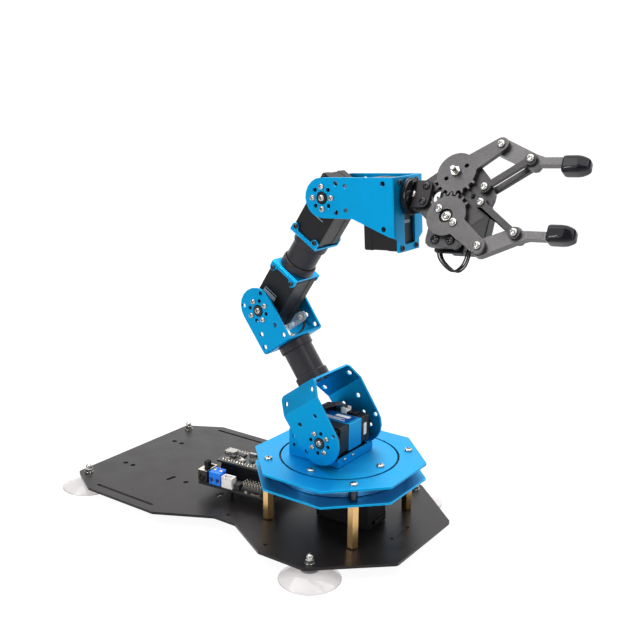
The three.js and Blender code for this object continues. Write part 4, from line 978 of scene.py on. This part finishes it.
# servo pin rows
PIN_ROWS = (4.0, 4.0 + PITCH, 4.0 + 2 * PITCH)
pins_x = run(38.6, 60)
boxes("pin_row_bases", CHIP, "base", BOARD,
      [((x - 1.2, y - 1.2, LOWER - 0.05), (x + 1.2, y + 1.2, LOWER + 2.5))
       for y in PIN_ROWS for x in pins_x], 0.3)
boxes("pin_rows", PIN, "base", BOARD,
      [((x - 0.28, y - 0.28, LOWER), (x + 0.28, y + 0.28, 20.2)) for y in PIN_ROWS
       for x in pins_x], 0.12)

# terminal block, bus socket and power switch
refine("terminal_block", BLOCK, 0.3)
prisms("terminal_rims", BLOCK, "base", BOARD,
       [(disc(x, 4.6, 2.15, 28), "z", 22.9, 23.6, 0.25) for x in (13, 18.2)]
       + [(rounded_rect(10.7, 7.0, 20.5, 8.2, 0.3), "z", 22.9, 23.9, 0.2)])
screws("terminal_screws", "base", BOARD, [((x, 4.6, 23.3), UP, 1.7) for x in (13, 18.2)])
boxes("terminal_clamps", BRASS, "base", BOARD,
      [((x - 1.35, 1.5, 14.6), (x + 1.35, 3.0, 15.4)) for x in (13, 18.2)]
      + [((x - 1.35, 1.9, 16.6), (x + 1.35, 3.1, 18.4)) for x in (13, 18.2)], 0.15)
SOCKET = (21.2, 30.8, 0.6, 6.4)
x0, x1, y0, y1 = SOCKET
teeth = [((x0 + 0.05 + 2.02 * k, y0, 18.6), (x0 + 1.25 + 2.02 * k, y0 + 1.0, 21.5))
         for k in range(5)]
boxes("bus_socket", WHITE, "base", BOARD,
      [((x0, y0, LOWER), (x1, y1, 15.4)), ((x0, y0, 15), (x1, y0 + 1.0, 19.2)),
       ((x0, y1 - 1.0, 15), (x1, y1, 21.5)), ((x0, y0, 15), (x0 + 0.9, y1, 21.5)),
       ((x1 - 0.9, y0, 15), (x1, y1, 21.5))] + teeth, 0.18)
boxes("bus_socket_pins", PIN, "base", BOARD,
      [((x0 + 2.1 + 1.8 * k, 3.2, 15), (x0 + 2.7 + 1.8 * k, 3.8, 20)) for k in range(4)], 0.1)
refine("power_switch_body", SHELL, 0.3)
boxes("power_switch_top", PIN, "base", BOARD,
      [((-0.5, 1.5, 21.5), (1.9, 15.3, 22.1)), ((6.7, 1.5, 21.5), (7.7, 15.3, 22.1)),
       ((1.8, 1.5, 21.5), (6.8, 4.5, 22.1)), ((1.8, 14.2, 21.5), (6.8, 15.3, 22.1))], 0.12)


def barrel(bm):
    place = Matrix.Translation((3.4, 1.9, 16.9)) @ Matrix.Rotation(math.pi / 2, 4, "X")
    lathe(bm, [(1.2, 0), (2.6, 0), (2.6, 0.6), (2.4, 0.9), (1.4, 0.9), (1.2, 0.6)], 32, place)


piece("power_socket_rim", DARK_STEEL, "base", BOARD, barrel, 50)
prisms("power_switch_knob", CASE, "power_switch_slider", BOARD, [
    (rounded_rect(2.9, 5.3, 5.7, 9.5, 0.5), "z", 19.0, 23.2, 0.1),
    (rounded_rect(2.3, 4.9, 6.3, 9.9, 1.1), "z", 22.9, 27.6, 0.5)], nodes=["power_switch_slider"])
boxes("power_switch_ribs", CASE, "power_switch_slider", BOARD,
      [((2.5, 5.5 + 0.95 * k, 27.3), (6.1, 5.95 + 0.95 * k, 27.8)) for k in range(5)], 0.1)
screws("board_screws", "base", BOARD, [((x, y, LOWER), UP, 2.3) for x, y in ((26, 52), (6, 46))])

# ---------- camera, light and floor ----------
CAM_AZ, CAM_EL, CAM_ROLL = (math.radians(a) for a in (35.07, 14.79, 0.6))
CAM_AT = Vector((0.3351, -0.5027, 0.3045))
CAM_LENS = 51.84
BACK_LIFT = 2.5        # brightness of the world behind the arm, as it lights the arm
LEFT_DIM = 0.5         # the same on the left
SEEN_WHITE = 1.05      # brightness of the world as the camera sees it
FLOOR_RADIUS = 1.1
# each area light: name, place, target, width and height, watts
LIGHTS = [
    ("top", (0.0, 0.2, 1.5), (0, 0, 0), (2.4, 2.4), 48),
    ("key", (-0.55, -0.8, 1.0), (0.1, 0, 0.25), (0.9, 0.9), 4),
    ("strip_left", (-0.35, -0.85, 0.62), (0.15, 0, 0.25), (0.025, 0.9), 2.2),
    ("strip_right", (0.95, -0.35, 0.75), (0.15, 0, 0.25), (0.025, 0.8), 2.2),
]


def add_camera():
    cam = bpy.data.cameras.new("camera")
    cam.lens = CAM_LENS
    cam.sensor_width = 36
    cam.clip_start = 0.01
    obj = bpy.data.objects.new("camera", cam)
    bpy.context.scene.collection.objects.link(obj)
    back = Vector((math.sin(CAM_AZ) * math.cos(CAM_EL), -math.cos(CAM_AZ) * math.cos(CAM_EL),
                   math.sin(CAM_EL)))
    right = Vector((math.cos(CAM_AZ), math.sin(CAM_AZ), 0))
    up = back.cross(right)
    c, s = math.cos(CAM_ROLL), math.sin(CAM_ROLL)
    m = Matrix((c * right + s * up, c * up - s * right, back)).transposed().to_4x4()
    m.translation = CAM_AT
    obj.matrix_world = m
    bpy.context.scene.camera = obj


def area_light(name, at, target, size, power):
    data = bpy.data.lights.new(name, "AREA")
    data.shape = "RECTANGLE"
    data.size, data.size_y = size
    data.energy = power
    obj = bpy.data.objects.new(name, data)
    bpy.context.scene.collection.objects.link(obj)
    d = Vector(target) - Vector(at)
    obj.rotation_euler = d.to_track_quat("-Z", "Y").to_euler()
    obj.location = at


def studio_world():
    """Even white for the eye; as light, brightest low down behind the arm."""
    world = bpy.data.worlds.new("studio")
    world.use_nodes = True
    nt = world.node_tree
    back = nt.nodes["Background"]
    coord = nt.nodes.new("ShaderNodeTexCoord")
    split = nt.nodes.new("ShaderNodeSeparateXYZ")
    ramp = nt.nodes.new("ShaderNodeValToRGB")
    ramp.color_ramp.elements[0].position = 0.0
    ramp.color_ramp.elements[0].color = (0.80, 0.80, 0.80, 1)
    ramp.color_ramp.elements[1].position = 0.55
    ramp.color_ramp.elements[1].color = (0.40, 0.40, 0.40, 1)
    path = nt.nodes.new("ShaderNodeLightPath")
    mix = nt.nodes.new("ShaderNodeMixRGB")
    mix.inputs[2].default_value = (1, 1, 1, 1)

    def towards(direction, start, end, factor):
        """Brightness factor that goes from 1 to factor near a direction."""
        dot = nt.nodes.new("ShaderNodeVectorMath")
        dot.operation = "DOT_PRODUCT"
        dot.inputs[1].default_value = direction
        ease = nt.nodes.new("ShaderNodeMapRange")
        ease.interpolation_type = "SMOOTHSTEP"
        ease.inputs["From Min"].default_value = start
        ease.inputs["From Max"].default_value = end
        ease.inputs["To Min"].default_value = 1.0
        ease.inputs["To Max"].default_value = factor
        nt.links.new(coord.outputs["Generated"], dot.inputs[0])
        nt.links.new(dot.outputs["Value"], ease.inputs["Value"])
        return ease.outputs["Result"]

    nt.links.new(coord.outputs["Generated"], split.inputs[0])
    nt.links.new(split.outputs["Z"], ramp.inputs["Fac"])
    nt.links.new(ramp.outputs["Color"], mix.inputs[1])
    nt.links.new(path.outputs["Is Camera Ray"], mix.inputs[0])
    nt.links.new(mix.outputs[0], back.inputs["Color"])
    both = nt.nodes.new("ShaderNodeMath")
    both.operation = "MULTIPLY"
    behind = (-math.sin(CAM_AZ), math.cos(CAM_AZ), 0)
    nt.links.new(towards(behind, 0.1, 0.9, BACK_LIFT), both.inputs[0])
    nt.links.new(towards((-0.97, -0.25, 0), 0.55, 0.95, LEFT_DIM), both.inputs[1])
    strength = nt.nodes.new("ShaderNodeMapRange")
    strength.inputs["To Max"].default_value = SEEN_WHITE
    nt.links.new(path.outputs["Is Camera Ray"], strength.inputs["Value"])
    nt.links.new(both.outputs[0], strength.inputs["To Min"])
    nt.links.new(strength.outputs["Result"], back.inputs["Strength"])
    bpy.context.scene.world = world


add_camera()
for spec in LIGHTS:
    area_light(*spec)
studio_world()
bpy.context.scene.view_settings.view_transform = "Standard"

bm = bmesh.new()
bmesh.ops.create_circle(bm, cap_ends=True, segments=96, radius=FLOOR_RADIUS)
bmesh.ops.translate(bm, vec=(0, 0, cad_box[0][2] - 0.0002), verts=bm.verts)
me = bpy.data.meshes.new("floor")
bm.to_mesh(me)
bm.free()
floor = bpy.data.objects.new("floor", me)
bpy.context.scene.collection.objects.link(floor)
me.materials.append(material("floor_white", (0.14, 0.14, 0.14), 0.9, grain_scale=20, tint=0.005,
                             Specular_IOR_Level=0.0, Emission_Color=(1, 1, 1, 1),
                             Emission_Strength=0.93))
